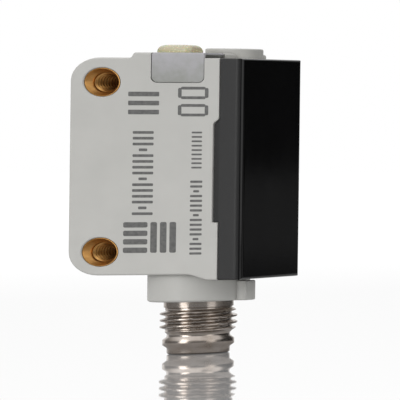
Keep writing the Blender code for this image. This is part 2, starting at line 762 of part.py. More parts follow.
def make_lens(name, back, look, place):
    """A lens with a flat back and a round front, along its own Z axis."""
    sag = LENS_BULGE
    sphere = (LENS_RADIUS**2 + sag**2) / (2 * sag)
    steps = 5
    opening = math.asin(LENS_RADIUS / sphere)
    crown = back + LENS_EDGE + sag
    profile = [(0, back), (LENS_RADIUS, back)]
    for i in range(steps):
        angle = opening * (1 - i / steps)
        profile.append((sphere * math.sin(angle), crown - sphere * (1 - math.cos(angle))))
    profile.append((0, crown))
    turned(name, profile, look, place=place)


def make_electronics():
    clear = material("clear_plastic", (0.85, 0.87, 0.88), 0.05, transmission=0.9)
    black = material("black_plastic", (0.015, 0.015, 0.015), 0.6)
    tin = material("tinned_steel", (0.70, 0.70, 0.68), 0.3, 1.0)
    ochre = material("ochre_plastic", (0.65, 0.38, 0.06), 0.5)
    in_front = MAIN_BOARD_FRONT - FIT
    behind = MAIN_BOARD_REAR + FIT
    block_at("emitter_led", (0, in_front - LED_SIZE[1] / 2, EMITTER_Z), LED_SIZE, clear)
    block_at("receiver_diode", (0, in_front - DIODE_SIZE[1] / 2, RECEIVER_Z), DIODE_SIZE, black)

    shield_size = (SHIELD_SIDE, LED_SIZE[1], SHIELD_SIDE)
    shield = block_at("receiver_shield", (0, in_front - LED_SIZE[1] / 2, RECEIVER_Z), shield_size, tin)
    opening = SHIELD_SIDE - 2 * SHIELD_WALL
    cut(shield, block_at("shield_opening", (0, 0, RECEIVER_Z), (opening, DEPTH, opening)))

    chip_z = (EMITTER_Z + RECEIVER_Z) / 2
    transistor_z = chip_z - CHIP_SIZE[2] / 2 - TRANSISTOR_SIZE[2] / 2 - 1.0 * MM
    capacitor_z = chip_z + CHIP_SIZE[2] / 2 + CAPACITOR_SIZE[2] / 2 + 1.0 * MM
    block_at("sensor_chip", (0, behind + CHIP_SIZE[1] / 2, chip_z), CHIP_SIZE, black)
    block_at(
        "output_transistor",
        (0, behind + TRANSISTOR_SIZE[1] / 2, transistor_z),
        TRANSISTOR_SIZE,
        black,
    )
    block_at("capacitor", (0, behind + CAPACITOR_SIZE[1] / 2, capacitor_z), CAPACITOR_SIZE, ochre)

    indicator_z = TOP_BOARD_TOP + FIT + INDICATOR_SIZE[2] / 2
    for name, y in (("yellow", DOME_Y), ("green", PLATEAU_FRONT + INDICATOR_SIZE[0])):
        block_at("indicator_led_" + name, (STEM_X, y, indicator_z), INDICATOR_SIZE, clear)


def pin_places():
    for angle in PIN_ANGLES:
        turn = math.radians(angle)
        yield PIN_CIRCLE * math.cos(turn), CONNECTOR_Y + PIN_CIRCLE * math.sin(turn)


def cut_pin_holes(target, label):
    for number, (x, y) in enumerate(pin_places(), 1):
        hole = rod(
            f"{label}_pin_hole_{number}",
            PIN_RADIUS + PIN_FIT,
            0,
            EAR_TOP,
            segments=SMALL_SEGMENTS,
            place=upright(x, y),
        )
        cut(target, hole)


def thread_radius(turn, height):
    """The sleeve's radius in its threaded part: one ridge that climbs a pitch in each turn."""
    climb = (height - THREAD_START) / THREAD_PITCH - turn / (2 * math.pi)
    ridge = 0.5 - 0.5 * math.cos(2 * math.pi * climb)
    from_ends = min(height - THREAD_START, THREAD_START + THREAD_LENGTH - height)
    fade = min(1.0, max(0.0, from_ends) / (THREAD_PITCH / 2))
    return THREAD_RADIUS - THREAD_DEPTH + THREAD_DEPTH * ridge * fade


def make_connector_sleeve():
    """The metal sleeve from its open end up: ring and waist, thread, neck and flange."""
    nickel = material("nickel_plated_brass", (0.42, 0.37, 0.32), 0.3, 1.0)
    chamfer = 0.3 * MM
    ring_top = RING_START + RING_HEIGHT
    root = THREAD_RADIUS - THREAD_DEPTH
    outside = [
        (WAIST_RADIUS - chamfer, 0),
        (WAIST_RADIUS, chamfer),
        (WAIST_RADIUS, RING_START - chamfer),
        (RING_RADIUS - chamfer / 2, RING_START),
        (RING_RADIUS, RING_START + RING_HEIGHT / 3),
        (RING_RADIUS, RING_START + 2 * RING_HEIGHT / 3),
        (RING_RADIUS - chamfer / 2, ring_top),
        (WAIST_RADIUS, ring_top + chamfer),
        (WAIST_RADIUS, THREAD_START - chamfer),
        (root, THREAD_START),
    ]
    steps = round(THREAD_LENGTH / THREAD_PITCH * 6)
    thread = [(None, THREAD_START + THREAD_LENGTH * i / steps) for i in range(1, steps)]
    inside = [
        (root, THREAD_START + THREAD_LENGTH),
        (NECK_RADIUS, THREAD_START + THREAD_LENGTH + chamfer / 2),
        (NECK_RADIUS, FLANGE_Z),
        (FLANGE_RADIUS, FLANGE_Z),
        (FLANGE_RADIUS, SLEEVE_TOP),
        (SLEEVE_BORE_RADIUS, SLEEVE_TOP),
        (SLEEVE_BORE_RADIUS, SOCKET_DEPTH),
        (SOCKET_RADIUS, SOCKET_DEPTH),
        (SOCKET_RADIUS, 0),
    ]
    builder = bmesh.new()
    rings = []
    for radius, height in outside + thread + inside:
        made = []
        for i in range(SEGMENTS):
            turn = 2 * math.pi * i / SEGMENTS
            reach = thread_radius(turn, height) if radius is None else radius
            made.append(builder.verts.new((reach * math.cos(turn), reach * math.sin(turn), height)))
        rings.append(made)
    for lower, upper in zip(rings, rings[1:] + rings[:1]):
        for i in range(SEGMENTS):
            j = (i + 1) % SEGMENTS
            builder.faces.new((lower[i], lower[j], upper[j], upper[i]))
    builder.transform(upright(0, CONNECTOR_Y))
    shade_round(add_object("connector_sleeve", builder, nickel))


def make_connector():
    make_connector_sleeve()
    black = material("black_plastic", (0.015, 0.015, 0.015), 0.6)
    rubber = material("black_rubber", (0.02, 0.02, 0.02), 0.8)
    gold = material("gold_plated_brass", (0.83, 0.62, 0.25), 0.25, 1.0)
    axis = upright(0, CONNECTOR_Y)
    insert_low = SOCKET_DEPTH + FIT
    insert_radius = SLEEVE_BORE_RADIUS - FIT
    insert = rod("connector_insert", insert_radius, insert_low, SLEEVE_TOP - FIT, black, place=axis)
    cut_pin_holes(insert, "insert")

    inner = NECK_RADIUS + FIT
    outer = inner + CONNECTOR_SEAL_WIDTH
    low = SEAT_Z + FIT
    high = low + CONNECTOR_SEAL_HEIGHT
    edge = CONNECTOR_SEAL_HEIGHT * 0.25
    ring("connector_seal", inner, outer, low, high, edge, rubber, axis)

    tip = PIN_RADIUS * 0.5
    profile = [
        (0, PIN_RECESS),
        (tip, PIN_RECESS),
        (PIN_RADIUS, PIN_RECESS + tip),
        (PIN_RADIUS, CONNECTOR_BOARD_TOP),
        (0, CONNECTOR_BOARD_TOP),
    ]
    for number, (x, y) in enumerate(pin_places(), 1):
        turned(f"contact_pin_{number}", profile, gold, SMALL_SEGMENTS, upright(x, y))


def main():
    clear_scene()
    make_housing()
    make_front_cover()
    make_cover_seal()
    make_mounting_inserts()
    make_indicator_window()
    make_indicator_dome()
    make_adjuster()
    make_boards()
    make_optics()
    make_electronics()
    make_connector()


main()
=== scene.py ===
"""Looks of the miniature block proximity sensor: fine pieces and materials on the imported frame."""

import json
import math

import bmesh
import bpy
from mathutils import Matrix, Vector


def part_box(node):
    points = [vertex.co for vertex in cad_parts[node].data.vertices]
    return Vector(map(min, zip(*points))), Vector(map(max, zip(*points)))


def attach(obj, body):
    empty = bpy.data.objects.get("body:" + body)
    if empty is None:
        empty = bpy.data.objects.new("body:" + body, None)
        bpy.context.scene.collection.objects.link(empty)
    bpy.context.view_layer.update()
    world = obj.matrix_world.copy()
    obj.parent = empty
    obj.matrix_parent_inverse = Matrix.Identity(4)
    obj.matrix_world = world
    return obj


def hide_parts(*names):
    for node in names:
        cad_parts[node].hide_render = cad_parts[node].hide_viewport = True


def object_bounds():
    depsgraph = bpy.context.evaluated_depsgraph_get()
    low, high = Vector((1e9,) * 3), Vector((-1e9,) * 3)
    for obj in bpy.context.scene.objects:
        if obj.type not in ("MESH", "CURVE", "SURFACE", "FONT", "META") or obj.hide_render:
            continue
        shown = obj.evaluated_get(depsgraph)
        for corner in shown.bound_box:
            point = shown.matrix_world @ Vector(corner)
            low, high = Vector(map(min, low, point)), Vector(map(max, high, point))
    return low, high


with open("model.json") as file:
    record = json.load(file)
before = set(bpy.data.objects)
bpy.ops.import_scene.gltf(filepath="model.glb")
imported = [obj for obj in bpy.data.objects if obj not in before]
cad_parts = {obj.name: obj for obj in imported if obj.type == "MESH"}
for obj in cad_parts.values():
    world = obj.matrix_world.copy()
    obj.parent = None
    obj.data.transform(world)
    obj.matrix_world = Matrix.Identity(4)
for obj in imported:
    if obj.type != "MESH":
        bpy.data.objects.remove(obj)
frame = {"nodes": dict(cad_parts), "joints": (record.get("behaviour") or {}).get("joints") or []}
cad_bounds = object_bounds()

MM = 0.001

# Places read from the frame
LOW = {node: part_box(node)[0] for node in frame["nodes"]}
HIGH = {node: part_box(node)[1] for node in frame["nodes"]}
CENTRE = {node: (LOW[node] + HIGH[node]) / 2 for node in frame["nodes"]}
SKIN = 0.02 * MM
SIDE = HIGH["housing"].x - SKIN
REAR = HIGH["housing"].y - SKIN
FRONT = LOW["front_cover"].y
NOSE_BOTTOM = LOW["front_cover"].z
EAR_TOP = HIGH["front_cover"].z
COLLAR_BOTTOM = LOW["housing"].z
BOSS_TOP = HIGH["housing"].z
PLATEAU_TOP = HIGH["indicator_window"].z
PLATEAU_FRONT = LOW["indicator_window"].y
WINDOW_REAR = HIGH["indicator_window"].y
WINDOW_BOTTOM = LOW["indicator_window"].z
CONNECTOR = Vector((0, CENTRE["connector_sleeve"].y, 0))
KNOB = Vector(frame["joints"][0]["pos_m"])
HOLES = (CENTRE["mounting_insert_upper"], CENTRE["mounting_insert_lower"])
INSERT_RADIUS = (HIGH["mounting_insert_upper"].z - LOW["mounting_insert_upper"].z) / 2
BODY = "sensor_body"
ADJUSTER = "adjuster"

# Sizes of the fine shapes
SEAM = 0.05 * MM
EAR_RADIUS = 3.5 * MM
NOSE_DROP = 0.85 * MM
NOSE_FLAT = 0.9 * MM
NOSE_CURVE_LENGTH = 3.1 * MM
EAR_BOTTOM = NOSE_BOTTOM + NOSE_DROP
PLATEAU_FROM_REAR = 7.35 * MM
PLATEAU_REAR = HIGH["housing"].y - PLATEAU_FROM_REAR
COVER_DEPTH = 2.7 * MM
COVER_SEAM = FRONT + COVER_DEPTH
COVER_WALL = 1.0 * MM
TONGUE_REACH = HIGH["front_cover"].y - (COVER_SEAM - 0.15 * MM)
TONGUE_BOTTOM = NOSE_BOTTOM + 8.75 * MM
TONGUE_TOP = TONGUE_BOTTOM + 15.2 * MM
EDGE_RADIUS = 0.25 * MM
WALL = 1.3 * MM
TOP_WALL = 1.4 * MM
COLLAR_RADIUS = 5.28 * MM
LUG_WIDTH = 1.96 * MM
LUG_REACH = 6.38 * MM
LUG_TOP = NOSE_BOTTOM - 0.32 * MM
BOSS_RADIUS = 3.03 * MM
KNOB_RADIUS = HIGH["sensitivity_knob"].x - KNOB.x
WELL_RADIUS = KNOB_RADIUS + 0.12 * MM
KNOB_FLOOR = LOW["knob_seal"].z - 0.3 * MM
NECK_RADIUS = 3.6 * MM
SEAT_Z = COLLAR_BOTTOM + 1.5 * MM
FLANGE_RADIUS = HIGH["connector_sleeve"].x
FLANGE_Z = HIGH["connector_sleeve"].z - 1.0 * MM


# ---------------------------------------------------------------- meshes


def new_piece(name, builder, body=BODY, replaces=(), origin=None, smooth=35):
    """Turns a bmesh into a piece that rides on a body. origin becomes the object's own origin."""
    bmesh.ops.recalc_face_normals(builder, faces=builder.faces)
    if origin is not None:
        builder.transform(Matrix.Translation(-Vector(origin)))
    mesh = bpy.data.meshes.new(name)
    builder.to_mesh(mesh)
    builder.free()
    piece = bpy.data.objects.new(name, mesh)
    bpy.context.scene.collection.objects.link(piece)
    if origin is not None:
        piece.location = origin
    if smooth:
        mesh.shade_smooth()
        mesh.set_sharp_from_angle(angle=math.radians(smooth))
    if body is not None:
        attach(piece, body)
        if replaces:
            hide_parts(*replaces)
    return piece


def arc(centre, radius, start, end, steps):
    """Points of an arc between two angles in degrees."""
    angles = [math.radians(start + (end - start) * i / steps) for i in range(steps + 1)]
    return [(centre[0] + radius * math.cos(a), centre[1] + radius * math.sin(a)) for a in angles]


def filleted(corners, steps=6):
    """An outline from (u, v, radius) corners, where each radius rounds its corner."""
    outline = []
    count = len(corners)
    for i, (u, v, radius) in enumerate(corners):
        here = Vector((u, v))
        if radius == 0:
            outline.append((u, v))
            continue
        before = (Vector(corners[i - 1][:2]) - here).normalized()
        after = (Vector(corners[(i + 1) % count][:2]) - here).normalized()
        half = before.angle(after) / 2
        middle = here + (before + after).normalized() * radius / math.sin(half)
        start = here + before * radius / math.tan(half) - middle
        sweep = math.pi - 2 * half
        turn = 1 if before.cross(after) < 0 else -1
        for step in range(steps + 1):
            outline.append(tuple(middle + Matrix.Rotation(turn * sweep * step / steps, 2) @ start))
    return outline


PLACE = {
    "X": lambda u, v, w: (w, u, v),
    "Y": lambda u, v, w: (u, w, v),
    "Z": lambda u, v, w: (u, v, w),
}


def inset(corners, distance):
    """Moves each side of a (u, v, radius, share) outline inwards by its share of a distance. The
    share belongs to the side that starts at the corner. Outer corners lose the distance from their
    radius, and inner corners gain it."""
    points = [Vector(corner[:2]) for corner in corners]
    count = len(points)
    way = 1 if sum(points[i - 1].cross(points[i]) for i in range(count)) > 0 else -1
    moved = []
    for i, (_, _, radius, share) in enumerate(corners):
        before = (points[i] - points[i - 1]).normalized()
        after = (points[(i + 1) % count] - points[i]).normalized()
        last = corners[i - 1][3] * distance
        this = share * distance
        bend = before.cross(after)
        if abs(bend) < 0.02:
            point = points[i] + Vector((-after.y, after.x)) * way * this
        else:
            point = points[i] + way * (after * last - before * this) / bend
        if radius:
            step = min(last, this)
            radius = radius - step if bend * way > 0 else radius + step
        moved.append((point.x, point.y, max(radius, 0.01 * MM) if radius else 0))
    return moved


def add_prism(builder, corners, axis, start, end, edge=0.0, steps=4, fillet=8):
    """Adds an outline of (u, v, radius) corners extruded along an axis, with rounded end edges.
    A fourth number in a corner is the share of the rounding that its side gets."""
    place = PLACE[axis]
    full = [corner if len(corner) == 4 else (*corner, 1) for corner in corners]
    full = [corner if len(corner) == 4 else (*corner[:2], 0, 1) for corner in full]
    levels = [(start, 0), (end, 0)]
    if edge:
        turns = [math.pi / 2 * i / steps for i in range(steps + 1)]
        low = [(start + edge * (1 - math.sin(turn)), edge * (1 - math.cos(turn))) for turn in turns]
        levels = low[::-1] + [(end - (level - start), depth) for level, depth in low]
    rings = []
    for level, depth in levels:
        outline = filleted(inset(full, depth), fillet)
        rings.append([builder.verts.new(place(u, v, level)) for u, v in outline])
    builder.faces.new(rings[0][::-1])
    builder.faces.new(rings[-1])
    for lower, upper in zip(rings, rings[1:]):
        for i in range(len(lower)):
            j = (i + 1) % len(lower)
            builder.faces.new((lower[i], lower[j], upper[j], upper[i]))


def prism(corners, axis, start, end, edge=0.0, steps=4, fillet=8):
    """A new solid from add_prism."""
    builder = bmesh.new()
    add_prism(builder, corners, axis, start, end, edge, steps, fillet)
    return builder


def rectangle(low, high, radius):
    """The corners of a rectangle for filleted and add_prism."""
    return [
        (low[0], low[1], radius),
        (high[0], low[1], radius),
        (high[0], high[1], radius),
        (low[0], high[1], radius),
    ]


def add_turned(builder, profile, segments=64, place=Matrix.Identity(4), radius_at=None):
    """Adds a profile of (radius, height) points turned about Z. It closes on itself, unless both
    ends lie on the axis. radius_at(turn, height) gives the radius where the profile says None."""
    on_axis = profile[0][0] == 0 and profile[-1][0] == 0
    rings = []
    for radius, height in profile:
        if radius == 0:
            rings.append([builder.verts.new(place @ Vector((0, 0, height)))])
            continue
        made = []
        for i in range(segments):
            turn = 2 * math.pi * i / segments
            reach = radius_at(turn, height) if radius is None else radius
            point = Vector((reach * math.cos(turn), reach * math.sin(turn), height))
            made.append(builder.verts.new(place @ point))
        rings.append(made)
    pairs = list(zip(rings, rings[1:]))
    if not on_axis:
        pairs.append((rings[-1], rings[0]))
    for lower, upper in pairs:
        for i in range(segments):
            j = (i + 1) % segments
            corners = [lower[i % len(lower)], lower[j % len(lower)]]
            corners += [upper[j % len(upper)], upper[i % len(upper)]]
            builder.faces.new(list(dict.fromkeys(corners)))


def turned(profile, segments=64, place=Matrix.Identity(4), radius_at=None):
    """A new solid from add_turned."""
    builder = bmesh.new()
    add_turned(builder, profile, segments, place, radius_at)
    return builder


def box(low, high):
    return prism(rectangle(low, high, 0), "Z", low[2], high[2])


def upright(point):
    """Moves a Z axis to a point's place in X and Y."""
    return Matrix.Translation((point.x, point.y, 0))


def crosswise(point):
    """Turns a Z axis onto X, through a point."""
    return Matrix.Translation((0, point.y, point.z)) @ Matrix.Rotation(math.pi / 2, 4, "Y")


def combine(piece, operation, builders):
    """Joins solids to a piece, or cuts them away, and keeps the result as its mesh."""
    helpers = []
    for number, builder in enumerate(builders):
        helper = new_piece(f"helper_{number}", builder, body=None, smooth=0)
        helpers.append(helper)
        step = piece.modifiers.new(helper.name, "BOOLEAN")
        step.operation = operation
        step.object = helper
    bpy.context.view_layer.update()
    seen = piece.evaluated_get(bpy.context.evaluated_depsgraph_get())
    result = bpy.data.meshes.new_from_object(seen)
    old = piece.data
    piece.modifiers.clear()
    piece.data = result
    result.name = piece.name
    bpy.data.meshes.remove(old)
    for helper in helpers:
        bpy.data.objects.remove(helper)


def even_shading(piece, angle=30):
    """Keeps flat faces flat next to their rounded edges."""
    piece.data.shade_smooth()
    piece.data.set_sharp_from_angle(angle=math.radians(angle))
    weighted = piece.modifiers.new("even_shading", "WEIGHTED_NORMAL")
    weighted.keep_sharp = True
    weighted.weight = 80


# ---------------------------------------------------------------- materials


class Look:
    """A Principled material whose colour, roughness and bump come from noise in real sizes."""

    def __init__(self, name):
        self.material = bpy.data.materials.new(name)
        self.material.use_nodes = True
        self.nodes = self.material.node_tree.nodes
        self.links = self.material.node_tree.links
        self.shader = self.nodes["Principled BSDF"]
        self.where = self.nodes.new("ShaderNodeTexCoord").outputs["Object"]

    def set(self, **values):
        for name, value in values.items():
            self.shader.inputs[name.replace("_", " ")].default_value = value
        return self

    def put(self, name, output):
        self.links.new(output, self.shader.inputs[name])

    def stretch(self, scale):
        mapping = self.nodes.new("ShaderNodeMapping")
        mapping.inputs["Scale"].default_value = scale
        self.links.new(self.where, mapping.inputs["Vector"])
        return mapping.outputs["Vector"]

    def noise(self, size, detail=3.0, where=None, roughness=0.5):
        """Noise whose lumps are about size metres across."""
        texture = self.nodes.new("ShaderNodeTexNoise")
        texture.inputs["Scale"].default_value = 1.0 / size
        texture.inputs["Detail"].default_value = detail
        texture.inputs["Roughness"].default_value = roughness
        self.links.new(where or self.where, texture.inputs["Vector"])
        return texture.outputs["Fac"]

    def between(self, value, low, high, start=0.3, end=0.7):
        """Maps a value that runs from start to end onto low to high."""
        node = self.nodes.new("ShaderNodeMapRange")
        settings = {"From Min": start, "From Max": end, "To Min": low, "To Max": high}
        for name, number in settings.items():
            node.inputs[name].default_value = number
        self.links.new(value, node.inputs["Value"])
        return node.outputs["Result"]

    def blend(self, factor, first, second):
        """Blends two colours, each given as numbers or as another node's output."""
        node = self.nodes.new("ShaderNodeMix")
        node.data_type = "RGBA"
        self.links.new(factor, node.inputs["Factor"])
        for socket, color in ((node.inputs[6], first), (node.inputs[7], second)):
            if isinstance(color, bpy.types.NodeSocket):
                self.links.new(color, socket)
            else:
                socket.default_value = (*color, 1.0)
        return node.outputs[2]

    def mix(self, factor, first, second):
        """Mixes two shaders."""
        node = self.nodes.new("ShaderNodeMixShader")
        self.links.new(factor, node.inputs["Fac"])
        self.links.new(first, node.inputs[1])
        self.links.new(second, node.inputs[2])
        return node.outputs[0]

    def add(self, first, second):
        node = self.nodes.new("ShaderNodeMath")
        node.operation = "ADD"
        self.links.new(first, node.inputs[0])
        self.links.new(second, node.inputs[1])
        return node.outputs[0]

    def height(self, value, depth, after=None):
        """Bump of a given depth in metres, on top of an earlier bump."""
        node = self.nodes.new("ShaderNodeBump")
        node.inputs["Distance"].default_value = depth
        self.links.new(value, node.inputs["Height"])
        if after is not None:
            self.links.new(after, node.inputs["Normal"])
        return node.outputs["Normal"]

    def axis(self, name):
        node = self.nodes.new("ShaderNodeSeparateXYZ")
        self.links.new(self.where, node.inputs["Vector"])
        return node.outputs[name]

    # Ambient occlusion, used to darken colours where shade falls in corners and recesses: painted
    # shade.
    def painted_crevice_shade(self, distance):
        node = self.nodes.new("ShaderNodeAmbientOcclusion")
        node.inputs["Distance"].default_value = distance
        node.samples = 8
        return node.outputs["AO"]


def shaded(color, factor):
    return tuple(channel * factor for channel in color)


def moulded(name, color, rough=(0.4, 0.55), grain=0.09 * MM, depth=0.004 * MM, spread=0.06):
    """Moulded plastic: fine spark-eroded grain, slight clouds of tone, painted shade in the corners.
    """
    look = Look(name)
    clouds = look.noise(4.0 * MM)
    fine = look.noise(grain, detail=4.0)
    tone = look.blend(clouds, shaded(color, 1 - spread), shaded(color, 1 + spread))
    # Painted shade: the colour drops to 0.62 of itself in corners and recesses, from ambient
    # occlusion.
    corners = look.between(look.painted_crevice_shade(0.6 * MM), 0.0, 1.0, 0.35, 0.95)
    look.put("Base Color", look.blend(corners, shaded(color, 0.62), tone))
    look.put("Roughness", look.between(fine, *rough))
    look.put("Normal", look.height(fine, depth))
    return look


def glossy_black():
    """Polished black plastic with faint wiping marks."""
    look = Look("cover_gloss").set(Specular_IOR_Level=0.4)
    smears = look.noise(1.0, detail=4.0, where=look.stretch((500, 500, 60)))
    clouds = look.noise(3.0 * MM)
    look.put("Base Color", look.blend(clouds, (0.002, 0.002, 0.0022), (0.0034, 0.0034, 0.0037)))
    look.put("Roughness", look.between(smears, 0.05, 0.09))
    look.put("Normal", look.height(clouds, 0.002 * MM))
    return look


def turned_metal(name, color, tint, rough, line=0.03 * MM, depth=0.0012 * MM):
    """Metal with fine lines round its own Z axis, patches of tint, uneven polish and painted shade
    in its crevices.
    """
    look = Look(name).set(Metallic=1.0)
    patches = look.noise(1.6 * MM, detail=4.0)
    lines = look.noise(1.0, detail=2.0, where=look.stretch((150, 150, 1 / line)))
    # Painted shade: the colour darkens towards 0.45 of the tint in crevices, from ambient occlusion.
    corners = look.between(look.painted_crevice_shade(0.35 * MM), 0.0, 1.0, 0.2, 0.9)
    tone = look.blend(look.between(patches, 0.0, 1.0), color, tint)
    look.put("Base Color", look.blend(corners, shaded(tint, 0.45), tone))
    look.put("Roughness", look.between(patches, *rough))
    look.put("Normal", look.height(lines, depth))
    return look


def frosted():
    """Light-guide plastic, greyer and darker towards its lower end as a painted shade, with a milky
    grain.
    """
    look = Look("frosted_guide").set(Transmission_Weight=0.25, IOR=1.49)
    # Painted shade: the colour darkens from the top of the window down to its bottom.
    fall = look.between(look.axis("Z"), 0.0, 1.0, WINDOW_BOTTOM, PLATEAU_TOP)
    clouds = look.between(look.noise(1.1 * MM, detail=4.0), -0.25, 0.25)
    shade = look.add(fall, clouds)
    look.put("Base Color", look.blend(shade, (0.44, 0.45, 0.42), (0.64, 0.63, 0.66)))
    grain = look.noise(0.12 * MM, detail=4.0)
    look.put("Roughness", look.between(grain, 0.28, 0.42))
    look.put("Normal", look.height(grain, 0.003 * MM))
    return look


def yellowish():
    """The indicator's lens: milky, faintly yellow, a little deeper in colour near its foot."""
    look = Look("indicator_lens").set(Transmission_Weight=0.35, IOR=1.49)
    look.set(Subsurface_Weight=0.25, Subsurface_Scale=0.6 * MM)
    rise = look.between(look.axis("Z"), 0.0, 1.0, PLATEAU_TOP, HIGH["indicator_dome"].z)
    look.put("Base Color", look.blend(rise, (0.72, 0.66, 0.42), (0.86, 0.83, 0.64)))
    grain = look.noise(0.2 * MM)
    look.put("Roughness", look.between(grain, 0.16, 0.3))
    look.put("Normal", look.height(grain, 0.002 * MM))
    return look


def board():
    """Green solder mask over faint copper tracks."""
    look = Look("solder_mask")
    tracks = look.nodes.new("ShaderNodeTexBrick")
    tracks.inputs["Scale"].default_value = 1 / (1.6 * MM)
    tracks.inputs["Mortar Size"].default_value = 0.06
    look.links.new(look.where, tracks.inputs["Vector"])
    tracks.inputs["Color1"].default_value = (0.012, 0.13, 0.045, 1)
    tracks.inputs["Color2"].default_value = (0.014, 0.15, 0.05, 1)
    tracks.inputs["Mortar"].default_value = (0.035, 0.25, 0.09, 1)
    look.put("Base Color", tracks.outputs["Color"])
    grain = look.noise(0.3 * MM)
    look.put("Roughness", look.between(grain, 0.3, 0.45))
    weave = look.height(grain, 0.002 * MM)
    look.put("Normal", look.height(tracks.outputs["Fac"], 0.01 * MM, weave))
    return look


def clear():
    """Clear plastic with faint flow marks in its polish."""
    look = Look("clear_plastic").set(Transmission_Weight=0.9, IOR=1.49)
    grain = look.noise(0.8 * MM)
    look.put("Base Color", look.blend(grain, (0.86, 0.88, 0.88), (0.93, 0.94, 0.93)))
    look.put("Roughness", look.between(grain, 0.03, 0.08))
    return look


def printed_ink():
    """Grey pad-printed ink, thin enough in places for the plastic to show."""
    look = Look("printed_ink")
    patches = look.noise(0.5 * MM, detail=5.0)
    wear = look.between(patches, 0.0, 1.0)
    look.put("Base Color", look.blend(wear, (0.10, 0.10, 0.097), (0.17, 0.17, 0.165)))
    look.put("Roughness", look.between(patches, 0.4, 0.6))
    return look


LOOKS = {
    "housing": moulded("housing_plastic", (0.585, 0.58, 0.553)).set(Specular_IOR_Level=0.45),
    "gloss": glossy_black(),
    "satin": moulded("cover_satin", (0.0105, 0.0105, 0.0108), rough=(0.38, 0.5)),
    "matt": moulded("cover_matt", (0.013, 0.013, 0.0135), rough=(0.5, 0.65)),
    "brass": turned_metal("brass", (0.60, 0.34, 0.12), (0.40, 0.19, 0.05), (0.28, 0.42)),
    "nickel": turned_metal("nickel_plate", (0.55, 0.50, 0.46), (0.41, 0.35, 0.30), (0.18, 0.28)),
    "gold": turned_metal("gold_plate", (0.83, 0.60, 0.24), (0.72, 0.47, 0.16), (0.18, 0.3)),
    "tin": turned_metal("tin_plate", (0.66, 0.66, 0.64), (0.5, 0.5, 0.49), (0.25, 0.4)),
    "frosted": frosted(),
    "yellowish": yellowish(),
    "knob": moulded("knob_plastic", (0.68, 0.67, 0.63), rough=(0.3, 0.45)),
    "rubber": moulded("rubber", (0.018, 0.018, 0.018), rough=(0.65, 0.85), depth=0.008 * MM),
    "inner": moulded("inner_black", (0.014, 0.014, 0.014), rough=(0.5, 0.7)),
    "blue": moulded("trimmer_blue", (0.02, 0.10, 0.33)),
    "ochre": moulded("capacitor_ochre", (0.62, 0.34, 0.05)),
    "film": moulded("orange_film", (0.50, 0.17, 0.02), rough=(0.25, 0.4)),
    "board": board(),
    "clear": clear(),
    "ink": printed_ink(),
}


def paint(piece, *names):
    piece.data.materials.clear()
    for name in names:
        piece.data.materials.append(LOOKS[name].material)


# ---------------------------------------------------------------- the housing


def seam_corners(seam, shift, top_round, low_round, share):
    """The seam's corners from its lower end up, round the tongue."""
    reach = seam + TONGUE_REACH
    return [
        (seam, TONGUE_BOTTOM - shift, low_round, share),
        (reach, TONGUE_BOTTOM - shift, low_round, share),
        (reach, TONGUE_TOP - TONGUE_REACH * 0.5 + shift, top_round, share),
        (seam, TONGUE_TOP + TONGUE_REACH * 0.4 + shift, top_round, share),
    ]


def nose_curve(share):
    """The S curve under the body, from the cover to the collar."""
    start = COVER_SEAM + NOSE_FLAT
    steps = 16
    points = []
    for i in range(steps + 1):
        rise = NOSE_DROP * (1 - math.cos(math.pi * i / steps)) / 2
        points.append((start + NOSE_CURVE_LENGTH * i / steps, NOSE_BOTTOM + rise, 0, share))
    return points


def housing_outline():
    """The side view in Y and Z, counter-clockwise from the bottom front."""
    front = COVER_SEAM + SEAM
    slope = 0.4 * MM
    fine = 0.4
    corners = [(front, NOSE_BOTTOM, 0, 1), *nose_curve(1)]
    corners += [
        (REAR, EAR_BOTTOM, EAR_RADIUS, 1),
        (REAR, EAR_TOP, EAR_RADIUS, 1),
        (PLATEAU_REAR + slope / 2, EAR_TOP, 0.35 * MM, 1),
        (PLATEAU_REAR - slope / 2, PLATEAU_TOP, 0.35 * MM, 1),
        (PLATEAU_FRONT - SEAM, PLATEAU_TOP, 0.3 * MM, fine),
        (PLATEAU_FRONT - SEAM, EAR_TOP, 0, fine),
        (front, EAR_TOP, 0, fine),
    ]
    seam = seam_corners(front, SEAM, 0.6 * MM, 0.12 * MM, fine)[::-1]
    return corners + seam


def collar_profile():
    edge = 0.4 * MM
    profile = [(0, COLLAR_BOTTOM)]
    profile += arc((COLLAR_RADIUS - edge, COLLAR_BOTTOM + edge), edge, -90, 0, 6)
    return profile + [(COLLAR_RADIUS, EAR_BOTTOM + WALL / 2), (0, EAR_BOTTOM + WALL / 2)]


def boss_profile():
    edge = 0.22 * MM
    low = EAR_TOP - TOP_WALL / 2
    profile = [(0, low), (BOSS_RADIUS, low)]
    return profile + arc((BOSS_RADIUS - edge, BOSS_TOP - edge), edge, 0, 90, 5) + [(0, BOSS_TOP)]


def hole_profile(radius, far, flare):
    """A through hole with a small countersink at both faces."""
    return [
        (0, -far),
        (radius + flare + far - SIDE, -far),
        (radius, -SIDE + flare),
        (radius, SIDE - flare),
        (radius + flare + far - SIDE, far),
        (0, far),
    ]


